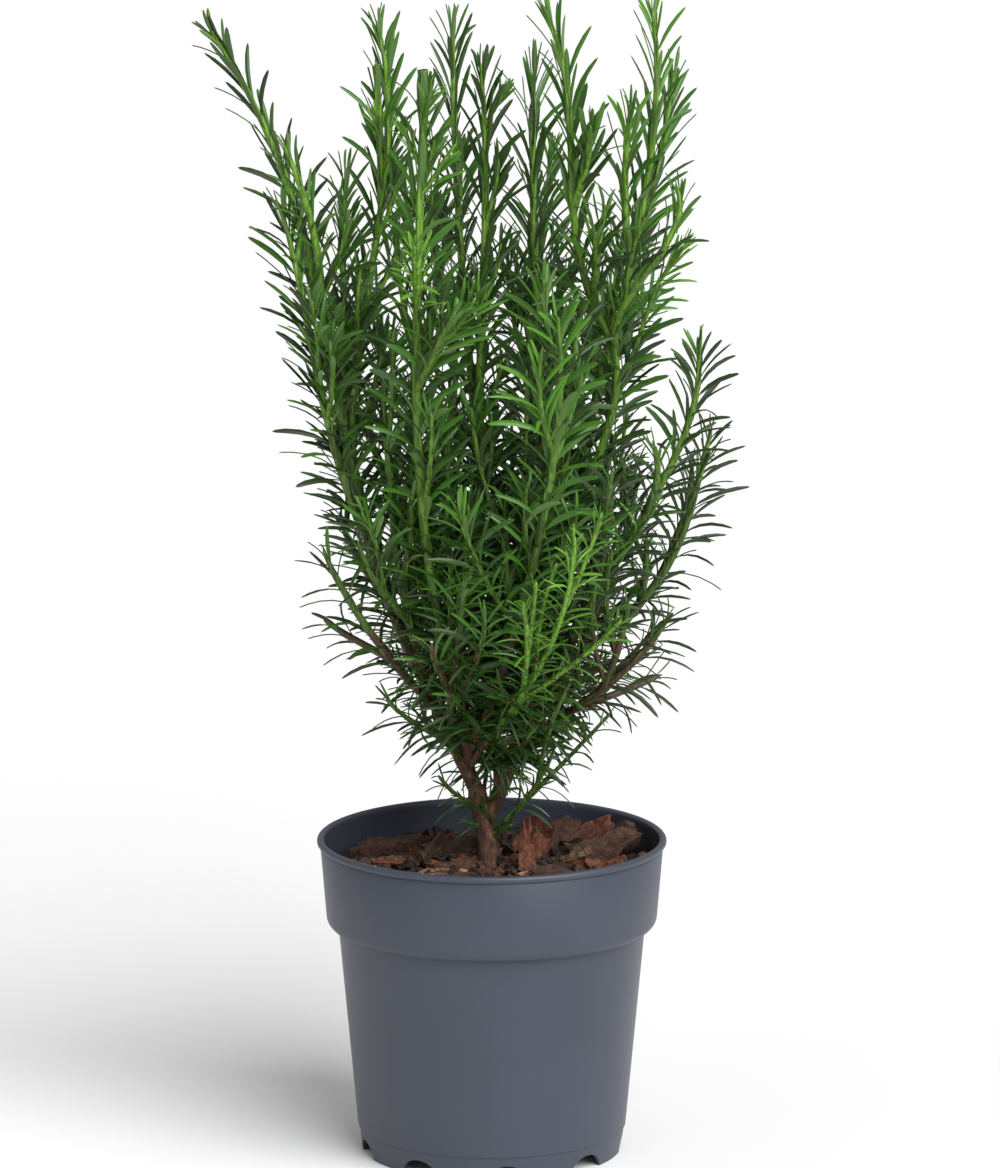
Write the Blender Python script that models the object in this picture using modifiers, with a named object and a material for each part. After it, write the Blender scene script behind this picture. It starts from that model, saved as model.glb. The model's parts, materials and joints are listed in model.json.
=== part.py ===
"""A Groenland hybrid yew, about 63 cm tall, in the 19 cm nursery pot it grows in.

The pot stands with the middle of its underside at the origin. +Z is up and -Y is the front.
Every limb is a line from its foot to its tip that bows out on the way. Every mass of foliage is
a few such shoots with side twigs, and flat sprays of needles set round them by a seeded rule.
"""

import math
import random
from collections import namedtuple

import bmesh
import bpy
import numpy as np
from mathutils import Matrix, Vector

MM = 0.001
GAP = 0.3 * MM
CUT_GROWTH = 1.25 * GAP
WELD = 0.01 * MM
FINE_WELD = 0.0002 * MM
SHARP_ANGLE = math.radians(30)

# Pot
POT_SIDES = 32
POT_HEIGHT = 174 * MM
LIP_RADIUS = 95 * MM
LIP_DEPTH = 4 * MM
WALL = 1.8 * MM
COLLAR_TOP_RADIUS = 93 * MM
COLLAR_FOOT_RADIUS = 90 * MM
COLLAR_CORNER = 6 * MM
LIP_ANGLES = (150, 90, 40, -15, -70)
CORNER_ANGLES = (0, -45, -90)
COLLAR_FOOT = 125 * MM
BODY_TOP_RADIUS = 83.4 * MM
BODY_FOOT_RADIUS = 73.2 * MM
FOOT_HEIGHT = 13.8 * MM
FOOT_STEP = 0.8 * MM
FOOT_RADIUS = 71 * MM
FOOT_ROUND = 0.8 * MM
FLOOR_UNDER = 10 * MM
FLOOR_TOP = 12 * MM
PAD_RADIUS = 14 * MM
ARCHES = 9
ARCH_WIDTH = 22 * MM
ARCH_HEIGHT = 8.5 * MM
ARCH_SIDES = 12
FIRST_ARCH = math.radians(-123.5)
DRAIN_HOLES = 6
DRAIN_RADIUS = 4.5 * MM
DRAIN_SIDES = 10
DRAIN_CIRCLE = 44 * MM

# Potting soil and the bark mulch on it
SOIL_TOP = 150 * MM
MULCH_EDGE = 152.5 * MM
MULCH_CROWN = 157 * MM
FILL_SIDES = POT_SIDES // 2
CHIPS = 28
CHIP_LENGTH = (15 * MM, 27 * MM)
CHIP_WIDTH = (8 * MM, 13 * MM)
CHIP_THICKNESS = (3 * MM, 5 * MM)
CHIP_TILT = math.radians(22)
CHIP_RISE = 1 / 3
TALL_CHIPS = [
    (24, 7, 167, 26, 74),
    (40, 28, 164, 24, 58),
    (58, 20, 161, 22, 35),
    (-24, 24, 160, 26, 24),
    (-34, -22, 159, 26, 18),
]
TALL_ROLL = math.radians(12)
TALL_YAW = math.radians(17)

# Trunk, boughs and shoots, in millimetres: a tip, then how far the line bows out to x and y.
# A shoot has two bows, one for its lower and one for its upper part.
Bough = namedtuple("Bough", "parent at tip bow foot_radius tip_radius")
Shoot = namedtuple("Shoot", "parent at tip low_bow high_bow")

TRUNK_FOOT = (0, 2, 150.3)
TRUNK_TIP = (-8, 2, 198)
TRUNK_BOW = (2, 0)
TRUNK_RADII = (8.2, 6.6, 6.0, 5.7, 5.4, 5.0)
ROOT_FLARE = 0.12

BOUGHS = {
    "bough_left": Bough("trunk", 1.0, (-36, -1, 260), (0, 0), 4.2, 3.0),
    "bough_right": Bough("trunk", 0.62, (28, 9, 264), (2, 2), 4.6, 3.3),
    "bough_front": Bough("bough_left", 0.16, (-17, -14, 254), (1, 0), 3.0, 2.8),
    "bough_centre": Bough("bough_right", 0.22, (0, 10, 246), (0, 2), 3.0, 2.7),
    "bough_centre_back": Bough("bough_right", 0.60, (22, 18, 263), (0, 1), 2.7, 2.5),
    "bough_back_left": Bough("bough_centre", 0.45, (-20, 32, 265), (0, 2), 2.6, 2.4),
    "bough_back": Bough("bough_centre", 0.80, (7, 34, 269), (0, 1), 2.5, 2.3),
    "bough_back_right": Bough("bough_right", 0.74, (38, 28, 270), (0, 1), 2.7, 2.5),
    "bough_front_right": Bough("bough_front", 0.24, (1, -18, 256), (1, 0), 2.5, 2.3),
    "bough_front_low": Bough("bough_front", 0.08, (-3, -14, 229), (0, 0), 2.1, 1.8),
    "bough_front_left": Bough("bough_left", 0.84, (-37, -17, 273), (0, -1), 2.3, 2.1),
    "bough_right_low": Bough("bough_right", 0.55, (36, -3, 240), (0, 0), 2.2, 1.9),
    "bough_right_outer": Bough("bough_right", 0.78, (44, 8, 272), (0, 0), 2.3, 2.1),
    "bough_right_mid": Bough("bough_right", 0.72, (38, -8, 268), (0, 0), 2.2, 2.0),
    "bough_left_low": Bough("bough_left", 0.70, (-44, -10, 262), (0, 0), 2.1, 2.0),
    "bough_left_sprig": Bough("bough_left", 0.36, (-28, -12, 232), (0, 0), 2.0, 1.7),
    "bough_left_back": Bough("bough_left", 0.55, (-36, 14, 252), (0, 0), 2.2, 2.0),
    "bough_inner_front": Bough("bough_front", 0.50, (-22, -22, 246), (0, 0), 2.0, 1.8),
    "bough_inner_right": Bough("bough_centre", 0.62, (14, -4, 252), (0, 0), 2.2, 2.0),
    "bough_right_back": Bough("bough_right", 0.45, (34, 24, 248), (0, 0), 2.2, 2.0),
    "bough_low_back_left": Bough("bough_centre", 0.25, (-22, 22, 226), (0, 0), 2.0, 1.8),
}

# Each mass: the limb its stem grows on, how far up that limb, and its shoots. The first shoot is
# the stem, and the others leave an earlier shoot of the mass at a fraction of its length.
MASSES = {
    "foliage_left_top": ("bough_left", 1.0, [
        Shoot(None, 0, (-152, -15, 626), (-23, -2), (40, 13)),
        Shoot(0, 0.58, (-111, -45, 568), (7, 1), (6, 1)),
        Shoot(0, 0.37, (-82, 45, 534), (0, 8), (0, 8)),
        Shoot(0, 0.33, (-60, 12, 628), (-10, 0), (24, 0)),
        Shoot(0, 0.20, (-115, -20, 533), (-14, -3), (2, -3)),
    ]),
    "foliage_front_leader": ("bough_front", 1.0, [
        Shoot(None, 0, (-35, -50, 598), (-28, -24), (-9, 3)),
        Shoot(0, 0.50, (-15, -75, 482), (0, 0), (0, 0)),
        Shoot(0, 0.16, (-38, -10, 398), (-2, 2), (-2, 2)),
    ]),
    "foliage_centre": ("bough_centre", 1.0, [
        Shoot(None, 0, (-6, 5, 606), (-18, -3), (8, 2)),
        Shoot(0, 0.42, (-22, 60, 622), (-4, 5), (-4, 5)),
        Shoot(0, 0.12, (-30, 4, 420), (-6, 0), (-4, 0)),
    ]),
    "foliage_centre_back": ("bough_centre_back", 1.0, [
        Shoot(None, 0, (23, 50, 600), (11, 8), (-4, 0)),
        Shoot(0, 0.14, (44, 52, 430), (5, 5), (5, 5)),
    ]),
    "foliage_right_top": ("bough_right", 1.0, [
        Shoot(None, 0, (66, -10, 467), (-26, 6), (31, -1)),
        Shoot(0, 0.97, (27, -30, 636), (-26, -3), (13, -3)),
        Shoot(0, 0.95, (102, -35, 545), (-17, -7), (22, -7)),
        Shoot(1, 0.42, (54, -50, 578), (3, 0), (3, 0)),
        Shoot(1, 0.10, (61, -52, 536), (-3, 0), (-3, 0)),
        Shoot(0, 0.20, (40, -16, 398), (2, -3), (2, -3)),
    ]),
    "foliage_back_right": ("bough_back_right", 1.0, [
        Shoot(None, 0, (88, 25, 633), (-21, 35), (30, -10)),
        Shoot(0, 0.65, (101, 50, 597), (4, 0), (4, 0)),
        Shoot(0, 0.61, (74, 2, 583), (-4, 0), (-4, 0)),
        Shoot(0, 0.39, (84, 66, 490), (4, 5), (4, 5)),
        Shoot(0, 0.14, (72, 20, 404), (4, 0), (3, 0)),
    ]),
    "foliage_right_mid": ("bough_right_mid", 1.0, [
        Shoot(None, 0, (114, -40, 461), (-8, -8), (31, -4)),
        Shoot(0, 0.50, (88, -58, 408), (4, -4), (4, -4)),
        Shoot(0, 0.22, (66, -44, 386), (2, -4), (2, -4)),
    ]),
    "foliage_right_outer": ("bough_right_outer", 1.0, [
        Shoot(None, 0, (124, -5, 408), (39, -2), (12, -8)),
        Shoot(0, 0.33, (112, 34, 388), (7, 5), (7, 5)),
        Shoot(0, 0.24, (84, -12, 352), (2, -3), (2, -3)),
    ]),
    "foliage_right_low": ("bough_right_low", 1.0, [
        Shoot(None, 0, (103, -38, 312), (9, -7), (9, -7)),
        Shoot(0, 0.12, (102, 16, 264), (5, 4), (5, 4)),
        Shoot(0, 0.30, (76, -48, 322), (2, -3), (2, -3)),
    ]),
    "foliage_front_right": ("bough_front_right", 1.0, [
        Shoot(None, 0, (37, -80, 482), (10, -13), (17, 1)),
        Shoot(0, 0.18, (6, -38, 374), (-2, -3), (-2, -3)),
    ]),
    "foliage_front_low": ("bough_front_low", 1.0, [
        Shoot(None, 0, (48, -85, 364), (15, -4), (15, -4)),
        Shoot(0, 0.22, (17, -78, 327), (4, -3), (4, -3)),
    ]),
    "foliage_front_left": ("bough_front_left", 1.0, [
        Shoot(None, 0, (-60, -14, 432), (-10, -4), (-2, -3)),
        Shoot(0, 0.30, (-42, -36, 378), (2, -4), (2, -4)),
        Shoot(0, 0.16, (-76, -50, 352), (-4, -3), (-4, -3)),
    ]),
    "foliage_left_low": ("bough_left_low", 1.0, [
        Shoot(None, 0, (-95, -50, 350), (-4, -5), (-5, -3)),
        Shoot(0, 0.18, (-100, -14, 302), (-3, 4), (-3, 4)),
    ]),
    "foliage_left_sprig": ("bough_left_sprig", 1.0, [
        Shoot(None, 0, (-64, -40, 264), (-3, -3), (-3, -3)),
        Shoot(0, 0.25, (-46, -42, 238), (0, -3), (0, -3)),
    ]),
    "foliage_left_back": ("bough_left_back", 1.0, [
        Shoot(None, 0, (-84, 34, 416), (-6, 6), (-6, 4)),
        Shoot(0, 0.30, (-88, 14, 360), (-6, -2), (-6, -2)),
        Shoot(0, 0.16, (-66, 46, 352), (-4, 5), (-4, 5)),
    ]),
    "foliage_inner_front": ("bough_inner_front", 1.0, [
        Shoot(None, 0, (-14, -52, 336), (-3, -4), (2, -3)),
        Shoot(0, 0.20, (-36, -54, 300), (-2, -4), (-2, -4)),
    ]),
    "foliage_inner_right": ("bough_inner_right", 1.0, [
        Shoot(None, 0, (38, -30, 388), (3, -6), (5, -3)),
        Shoot(0, 0.18, (54, -40, 330), (5, -4), (5, -4)),
        Shoot(0, 0.30, (14, -26, 384), (-2, -3), (-2, -3)),
    ]),
    "foliage_right_back": ("bough_right_back", 1.0, [
        Shoot(None, 0, (84, 52, 372), (10, 8), (8, 4)),
        Shoot(0, 0.25, (60, 62, 338), (2, 6), (2, 6)),
        Shoot(0, 0.30, (96, 24, 330), (6, -2), (6, -2)),
    ]),
    "foliage_back_left": ("bough_back_left", 1.0, [
        Shoot(None, 0, (-50, 84, 532), (-36, 9), (12, 11)),
        Shoot(0, 0.27, (-96, 62, 470), (-8, 5), (-8, 5)),
        Shoot(0, 0.58, (-22, 94, 512), (4, 5), (4, 5)),
    ]),
    "foliage_back": ("bough_back", 1.0, [
        Shoot(None, 0, (34, 92, 548), (9, 30), (-5, 9)),
        Shoot(0, 0.38, (64, 88, 452), (5, 5), (5, 5)),
        Shoot(0, 0.25, (-24, 96, 402), (-5, 8), (-5, 8)),
    ]),
    "foliage_low_back_left": ("bough_low_back_left", 1.0, [
        Shoot(None, 0, (-66, 52, 318), (-5, 5), (-5, 5)),
        Shoot(0, 0.22, (-58, 22, 272), (-4, -2), (-4, -2)),
    ]),
    "foliage_back_low": ("trunk", 0.80, [
        Shoot(None, 0, (6, 70, 268), (0, 11), (0, 11)),
        Shoot(0, 0.40, (-34, 60, 272), (-4, 5), (-4, 5)),
        Shoot(0, 0.45, (44, 58, 270), (5, 5), (5, 5)),
    ]),
    "foliage_trunk_left": ("trunk", 0.80, [
        Shoot(None, 0, (-36, -22, 218), (-3, -3), (-3, -3)),
    ]),
    "foliage_trunk_right": ("trunk", 0.52, [
        Shoot(None, 0, (32, -24, 216), (3, -4), (3, -4)),
        Shoot(0, 0.40, (40, -20, 236), (3, -3), (3, -3)),
    ]),
}
PRUNED_MASS = "foliage_front_leader"
PRUNED_RADIUS = 2.7 * MM
SLIM_MASSES = ("foliage_left_sprig", "foliage_back_low", "foliage_trunk_left", "foliage_trunk_right")

# How the limbs are drawn
SECTION_NAME = "three_sided_section"
TRUNK_CUT = 1.5 * MM
TRUNK_SIDES = 10
BOUGH_SIDES = 6
SHOOT_SIDES = 3

# Shoots and their sprays of needles
SEED = 11
SHOOT_TIP_RADIUS = 1.0 * MM
SIDE_SHOOT_RADIUS = 1.7 * MM
SLIM_SHOOT_RADIUS = 1.2 * MM
SHOOT_SEGMENT = 50 * MM
SHOOT_STRAIGHT = 4 * MM
TIP_TUFT = 13 * MM
NEEDLE_LENGTH = 31 * MM
NEEDLE_WIDTH = 6.4 * MM
NEEDLE_THICKNESS = 0.9 * MM
NEEDLES_A_SPRAY = 3
NEEDLE_NOTCH = 2.7 * MM
NEEDLE_ROOT = 0.45 * MM
NEEDLE_STATIONS = (0.35, 0.7, 1.0)
SPRAY_LEANS = {"forward": math.radians(28), "raised": math.radians(40), "spread": math.radians(54)}
SPRAY_SIZES = (1.0, 0.82, 0.64, 0.5)
SPRAY_TURNS = (0, math.pi, math.pi / 2, -math.pi / 2)
TUFT_SIZE = 0.64
SPRAY_STEP = 57 * MM
SPRAY_UNEVEN = (0.85, 1.15)
SPRAY_START = 9 * MM
SPREAD_BELOW = 330 * MM
TUFT_SPRAYS = 2
TUFT_STAGGER = 1.1 * MM
GOLDEN_TURN = math.radians(137.5)
LOWEST_NEEDLE = 178 * MM

# Side twigs: long near the crown's foot, shorter with height, and none near its top. None
# turns outward by more than the given share.
TWIG_STEP = 58 * MM
TWIG_LENGTHS = (62 * MM, 88 * MM)
TWIG_HEIGHTS = (300 * MM, 560 * MM)
SHORTEST_TWIG = 36 * MM
TWIG_LEAN = math.radians(22)
TWIG_OUTWARD = 0.35
TWIG_BOW = 0.08
TWIG_CLEARANCE = 13 * MM
TWIG_MEASURED_AT = (0.6, 1.0)
TWIG_STRETCH = (0.10, 0.80)

# The crown's outline: height, then how far it reaches to the left, right, front and back
CROWN = [
    (200, 34, 46, 44, 40),
    (260, 70, 90, 72, 76),
    (300, 102, 113, 90, 90),
    (400, 112, 138, 102, 106),
    (500, 122, 118, 96, 106),
    (560, 130, 112, 84, 96),
    (630, 155, 108, 64, 74),
]

# Sky between the shoots, which no twig grows into: the middle of each patch as seen from the
# front, then half of its width and of its height
SKY = [
    (94, 426, 12, 38),
    (86, 338, 10, 18),
    (7, 404, 6, 34),
    (-90, 533, 7, 20),
    (-53, 254, 10, 16),
    (10, 577, 6, 13),
    (33, 552, 5, 17),
    (27, 520, 6, 14),
]

STEM_STEP = 4 * MM


def millimetres(place):
    """A place given in millimetres, as a vector in metres."""
    return Vector(place) * MM


def material(name, colour, roughness):
    """A plain matt material; colour is linear red, green and blue."""
    made = bpy.data.materials.new(name)
    made.use_nodes = True
    shader = made.node_tree.nodes["Principled BSDF"]
    shader.inputs["Base Color"].default_value = (*colour, 1.0)
    shader.inputs["Roughness"].default_value = roughness
    shader.inputs["Metallic"].default_value = 0.0
    made.diffuse_color = (*colour, 1.0)
    return made


def new_object(name, mesh, collection):
    """An object for the mesh, in the collection."""
    made = bpy.data.objects.new(name, mesh)
    collection.objects.link(made)
    return made


def finished_mesh(source, weld=WELD):
    """The mesh of an object with its modifiers applied, welded and facing out."""
    depsgraph = bpy.context.evaluated_depsgraph_get()
    mesh = bpy.data.meshes.new_from_object(source.evaluated_get(depsgraph))
    work = bmesh.new()
    work.from_mesh(mesh)
    bmesh.ops.remove_doubles(work, verts=work.verts, dist=weld)
    bmesh.ops.recalc_face_normals(work, faces=work.faces)
    work.to_mesh(mesh)
    work.free()
    return mesh


def from_curve(curve_object, collection):
    """The curve object made into a closed mesh object of the same name; the curve is removed."""
    name = curve_object.name
    mesh = finished_mesh(curve_object)
    place = curve_object.matrix_world.copy()
    curve = curve_object.data
    bpy.data.objects.remove(curve_object)
    bpy.data.curves.remove(curve)
    made = new_object(name, mesh, collection)
    made.matrix_world = place
    return made


def three_sided_section():
    """The section of the thinnest shoots: a triangle drawn once as a flat curve."""
    found = bpy.data.objects.get(SECTION_NAME)
    if found:
        return found
    curve = bpy.data.curves.new(SECTION_NAME, "CURVE")
    curve.dimensions = "2D"
    spline = curve.splines.new("POLY")
    spline.points.add(2)
    spline.use_cyclic_u = True
    for k, corner in enumerate(spline.points):
        turn = k * math.tau / 3
        corner.co = (math.cos(turn), math.sin(turn), 0.0, 1.0)
    return new_object(SECTION_NAME, curve, bpy.context.scene.collection)


def tube(name, points, radii, sides, collection):
    """A tapering limb along the points."""
    curve = bpy.data.curves.new(name, "CURVE")
    curve.dimensions = "3D"
    curve.use_fill_caps = True
    if sides == 3:
        curve.bevel_mode = "OBJECT"
        curve.bevel_object = three_sided_section()
    else:
        curve.bevel_depth = 1.0
        curve.bevel_resolution = sides // 2 - 2
    spline = curve.splines.new("POLY")
    spline.points.add(len(points) - 1)
    for knot, place, radius in zip(spline.points, points, radii):
        knot.co = (*place, 1.0)
        knot.radius = radius
    return from_curve(new_object(name, curve, collection), collection)


def turned(name, profile, sides, collection):
    """A turned piece: the profile runs down the outer side and ends on the axis."""
    mesh = bpy.data.meshes.new(name)
    made = new_object(name, mesh, collection)
    work = bmesh.new()
    knots = [work.verts.new((radius, 0, height)) for radius, height in profile]
    for first, second in zip(knots, knots[1:]):
        work.edges.new((first, second))
    work.to_mesh(mesh)
    work.free()
    screw = made.modifiers.new("Turn", "SCREW")
    screw.steps = sides
    screw.render_steps = sides
    screw.use_merge_vertices = True
    screw.merge_threshold = WELD
    made.data = finished_mesh(made)
    made.modifiers.clear()
    return made


def combine(target, others, operation):
    """Join or cut the target with a list of objects in one Boolean, and remove those objects."""
    if not others:
        return
    group = bpy.data.collections.new("cutters")
    bpy.context.scene.collection.children.link(group)
    for other in others:
        for owner in list(other.users_collection):
            owner.objects.unlink(other)
        group.objects.link(other)
        other.hide_render = True
        other.display_type = "WIRE"
    step = target.modifiers.new("Combine", "BOOLEAN")
    step.operation = operation
    step.operand_type = "COLLECTION"
    step.collection = group
    step.solver = "EXACT"
    joined = finished_mesh(target, FINE_WELD)
    if not is_closed(joined):
        step.solver = "MANIFOLD"
        joined = finished_mesh(target, FINE_WELD)
    target.data = joined
    target.modifiers.clear()
    for other in others:
        bpy.data.objects.remove(other)
    bpy.data.collections.remove(group)
    keep_largest(target.data)


def is_closed(mesh):
    """Whether every edge of the mesh has a face on each side."""
    work = bmesh.new()
    work.from_mesh(mesh)
    closed = all(len(edge.link_faces) == 2 for edge in work.edges)
    work.free()
    return closed


def keep_largest(mesh):
    """Drop loose scraps and sealed hollows, so that one closed body stays."""
    work = bmesh.new()
    work.from_mesh(mesh)
    left = set(work.verts)
    bodies = []
    while left:
        body = []
        edge_of_body = [left.pop()]
        while edge_of_body:
            knot = edge_of_body.pop()
            body.append(knot)
            for edge in knot.link_edges:
                other = edge.other_vert(knot)
                if other in left:
                    left.remove(other)
                    edge_of_body.append(other)
        bodies.append(body)
    bodies.sort(key=len, reverse=True)
    for body in bodies[1:]:
        bmesh.ops.delete(work, geom=body, context="VERTS")
    work.to_mesh(mesh)
    work.free()


def body_radius(height):
    """The outer radius of the pot's tapering body."""
    share = (height - FOOT_HEIGHT) / (COLLAR_FOOT - FOOT_HEIGHT)
    return BODY_FOOT_RADIUS + (BODY_TOP_RADIUS - BODY_FOOT_RADIUS) * share


def collar_radius(height):
    """The outer radius of the pot's collar."""
    low = COLLAR_FOOT + COLLAR_CORNER
    share = (height - low) / (POT_HEIGHT - LIP_DEPTH - low)
    return COLLAR_FOOT_RADIUS + (COLLAR_TOP_RADIUS - COLLAR_FOOT_RADIUS) * share


def arc(middle, radius, angles):
    """Points at the given angles, in degrees, on an arc round the middle."""
    turns = [math.radians(angle) for angle in angles]
    return [(middle.x + radius * math.cos(turn), middle.y + radius * math.sin(turn)) for turn in turns]


def pot_profile():
    """The pot's half section: up the inside, over the lip, down the outside and under the foot."""
    lip_foot = POT_HEIGHT - LIP_DEPTH
    step_top = COLLAR_FOOT + COLLAR_CORNER - WALL
    inside = [
        (0, FLOOR_TOP),
        (body_radius(FLOOR_TOP) - WALL, FLOOR_TOP),
        (BODY_TOP_RADIUS - WALL, COLLAR_FOOT),
        (COLLAR_FOOT_RADIUS - WALL, step_top),
        (COLLAR_TOP_RADIUS - WALL, lip_foot),
    ]
    lip_middle = Vector((LIP_RADIUS - LIP_DEPTH / 2, POT_HEIGHT - LIP_DEPTH / 2))
    lip = arc(lip_middle, LIP_DEPTH / 2, LIP_ANGLES)
    corner_middle = Vector((COLLAR_FOOT_RADIUS - COLLAR_CORNER, COLLAR_FOOT + COLLAR_CORNER))
    corner = arc(corner_middle, COLLAR_CORNER, CORNER_ANGLES)
    outside = [
        (BODY_TOP_RADIUS, COLLAR_FOOT),
        (BODY_FOOT_RADIUS, FOOT_HEIGHT),
        (BODY_FOOT_RADIUS - FOOT_STEP, FOOT_HEIGHT - FOOT_STEP),
        (FOOT_RADIUS, FOOT_ROUND),
        (FOOT_RADIUS - FOOT_ROUND, 0),
    ]
    underside = [
        (FOOT_RADIUS - WALL, 0),
        (FOOT_RADIUS - WALL, FLOOR_UNDER),
        (PAD_RADIUS + FOOT_ROUND, FLOOR_UNDER),
        (PAD_RADIUS, 0),
        (0, 0),
    ]
    return inside + lip + corner + outside + underside


def make_pot(parts):
    """The nursery pot: collar, lip, arched foot, drain holes and a flat pad under its middle."""
    pot = turned("pot", pot_profile(), POT_SIDES, parts)
    cutters = []
    for k in range(ARCHES):
        turn = FIRST_ARCH + k * math.tau / ARCHES
        bpy.ops.mesh.primitive_cylinder_add(vertices=ARCH_SIDES, radius=1, depth=1)
        arch = bpy.context.object
        arch.matrix_world = (
            Matrix.Rotation(turn, 4, "Z")
            @ Matrix.Translation((FOOT_RADIUS, 0, 0))
            @ Matrix.Diagonal((ARCH_WIDTH, ARCH_WIDTH / 2, ARCH_HEIGHT, 1))
            @ Matrix.Rotation(math.pi / 2, 4, "Y")
        )
        cutters.append(arch)
    for k in range(DRAIN_HOLES):
        turn = k * math.tau / DRAIN_HOLES
        place = (DRAIN_CIRCLE * math.cos(turn), DRAIN_CIRCLE * math.sin(turn), FLOOR_UNDER)
        bpy.ops.mesh.primitive_cylinder_add(
            vertices=DRAIN_SIDES, radius=DRAIN_RADIUS, depth=FLOOR_UNDER, location=place
        )
        cutters.append(bpy.context.object)
    bpy.context.view_layer.update()
    combine(pot, cutters, "DIFFERENCE")
    return pot


def inner_radius(height):
    """The radius of the pot's inside, beside the collar."""
    return collar_radius(height) - WALL


def make_soil(parts):
    """The potting soil that fills the pot up to the mulch."""
    step_top = COLLAR_FOOT + COLLAR_CORNER - WALL
    profile = [
        (0, SOIL_TOP),
        (inner_radius(SOIL_TOP) - GAP, SOIL_TOP),
        (COLLAR_FOOT_RADIUS - WALL - GAP, step_top + GAP),
        (BODY_TOP_RADIUS - WALL - GAP, COLLAR_FOOT + GAP),
        (body_radius(FLOOR_TOP) - WALL - GAP, FLOOR_TOP + GAP),
        (0, FLOOR_TOP + GAP),
    ]
    return turned("soil", profile, FILL_SIDES, parts)


def mulch_height(radius):
    """The level of the bark mulch at a distance from the pot's axis."""
    share = radius / inner_radius(MULCH_EDGE)
    return MULCH_CROWN + (MULCH_EDGE - MULCH_CROWN) * share


def add_chip(place, size, turns):
    """One bark chip: a block with its edges worn off."""
    bpy.ops.mesh.primitive_cube_add(size=1)
    chip = bpy.context.object
    roll, tilt, yaw = turns
    chip.matrix_world = (
        Matrix.Translation(place)
        @ Matrix.Rotation(yaw, 4, "Z")
        @ Matrix.Rotation(tilt, 4, "Y")
        @ Matrix.Rotation(roll, 4, "X")
        @ Matrix.Diagonal((*size, 1))
    )
    return chip


def chip_fits(chip, trunk):
    """Whether a chip stays inside the pot, over the soil and clear of the trunk."""
    for corner in chip.data.vertices:
        place = chip.matrix_world @ corner.co
        if place.xy.length > inner_radius(SOIL_TOP) - 2 * GAP or place.z < SOIL_TOP + 2 * GAP:
            return False
    reach = max(chip.scale) / 2 + trunk.radius(0) + GAP
    return (chip.location.xy - trunk.point(0).xy).length > reach


def make_mulch(trunk, parts):
    """The bark mulch: a bed that fills the pot's mouth, with loose chips standing out of it."""
    chance = random.Random(SEED)
    edge = inner_radius(SOIL_TOP) - GAP
    profile = [
        (0, MULCH_CROWN),
        (edge / 2, mulch_height(edge / 2)),
        (edge, MULCH_EDGE),
        (edge, SOIL_TOP + GAP),
        (0, SOIL_TOP + GAP),
    ]
    mulch = turned("bark_mulch", profile, FILL_SIDES, parts)
    chips = []
    for x, y, z, length, tilt in TALL_CHIPS:
        size = (length * MM, CHIP_WIDTH[1], CHIP_THICKNESS[1])
        turns = (TALL_ROLL, -math.radians(tilt), TALL_YAW)
        chips.append(add_chip(millimetres((x, y, z)), size, turns))
    for k in range(CHIPS):
        radius = edge * math.sqrt((k + 0.5) / CHIPS)
        turn = k * GOLDEN_TURN
        size = [chance.uniform(*span) for span in (CHIP_LENGTH, CHIP_WIDTH, CHIP_THICKNESS)]
        height = mulch_height(radius) + size[2] * CHIP_RISE
        place = (radius * math.cos(turn), radius * math.sin(turn), height)
        tilts = (chance.uniform(-CHIP_TILT, CHIP_TILT), chance.uniform(-CHIP_TILT, CHIP_TILT))
        chips.append(add_chip(place, size, (*tilts, chance.uniform(0, math.pi))))
    bpy.context.view_layer.update()
    lying = [chip for chip in chips if chip_fits(chip, trunk)]
    for chip in set(chips) - set(lying):
        bpy.data.objects.remove(chip)
    combine(mulch, lying, "UNION")
    combine(mulch, [trunk.grown(parts)], "DIFFERENCE")
    return mulch


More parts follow.
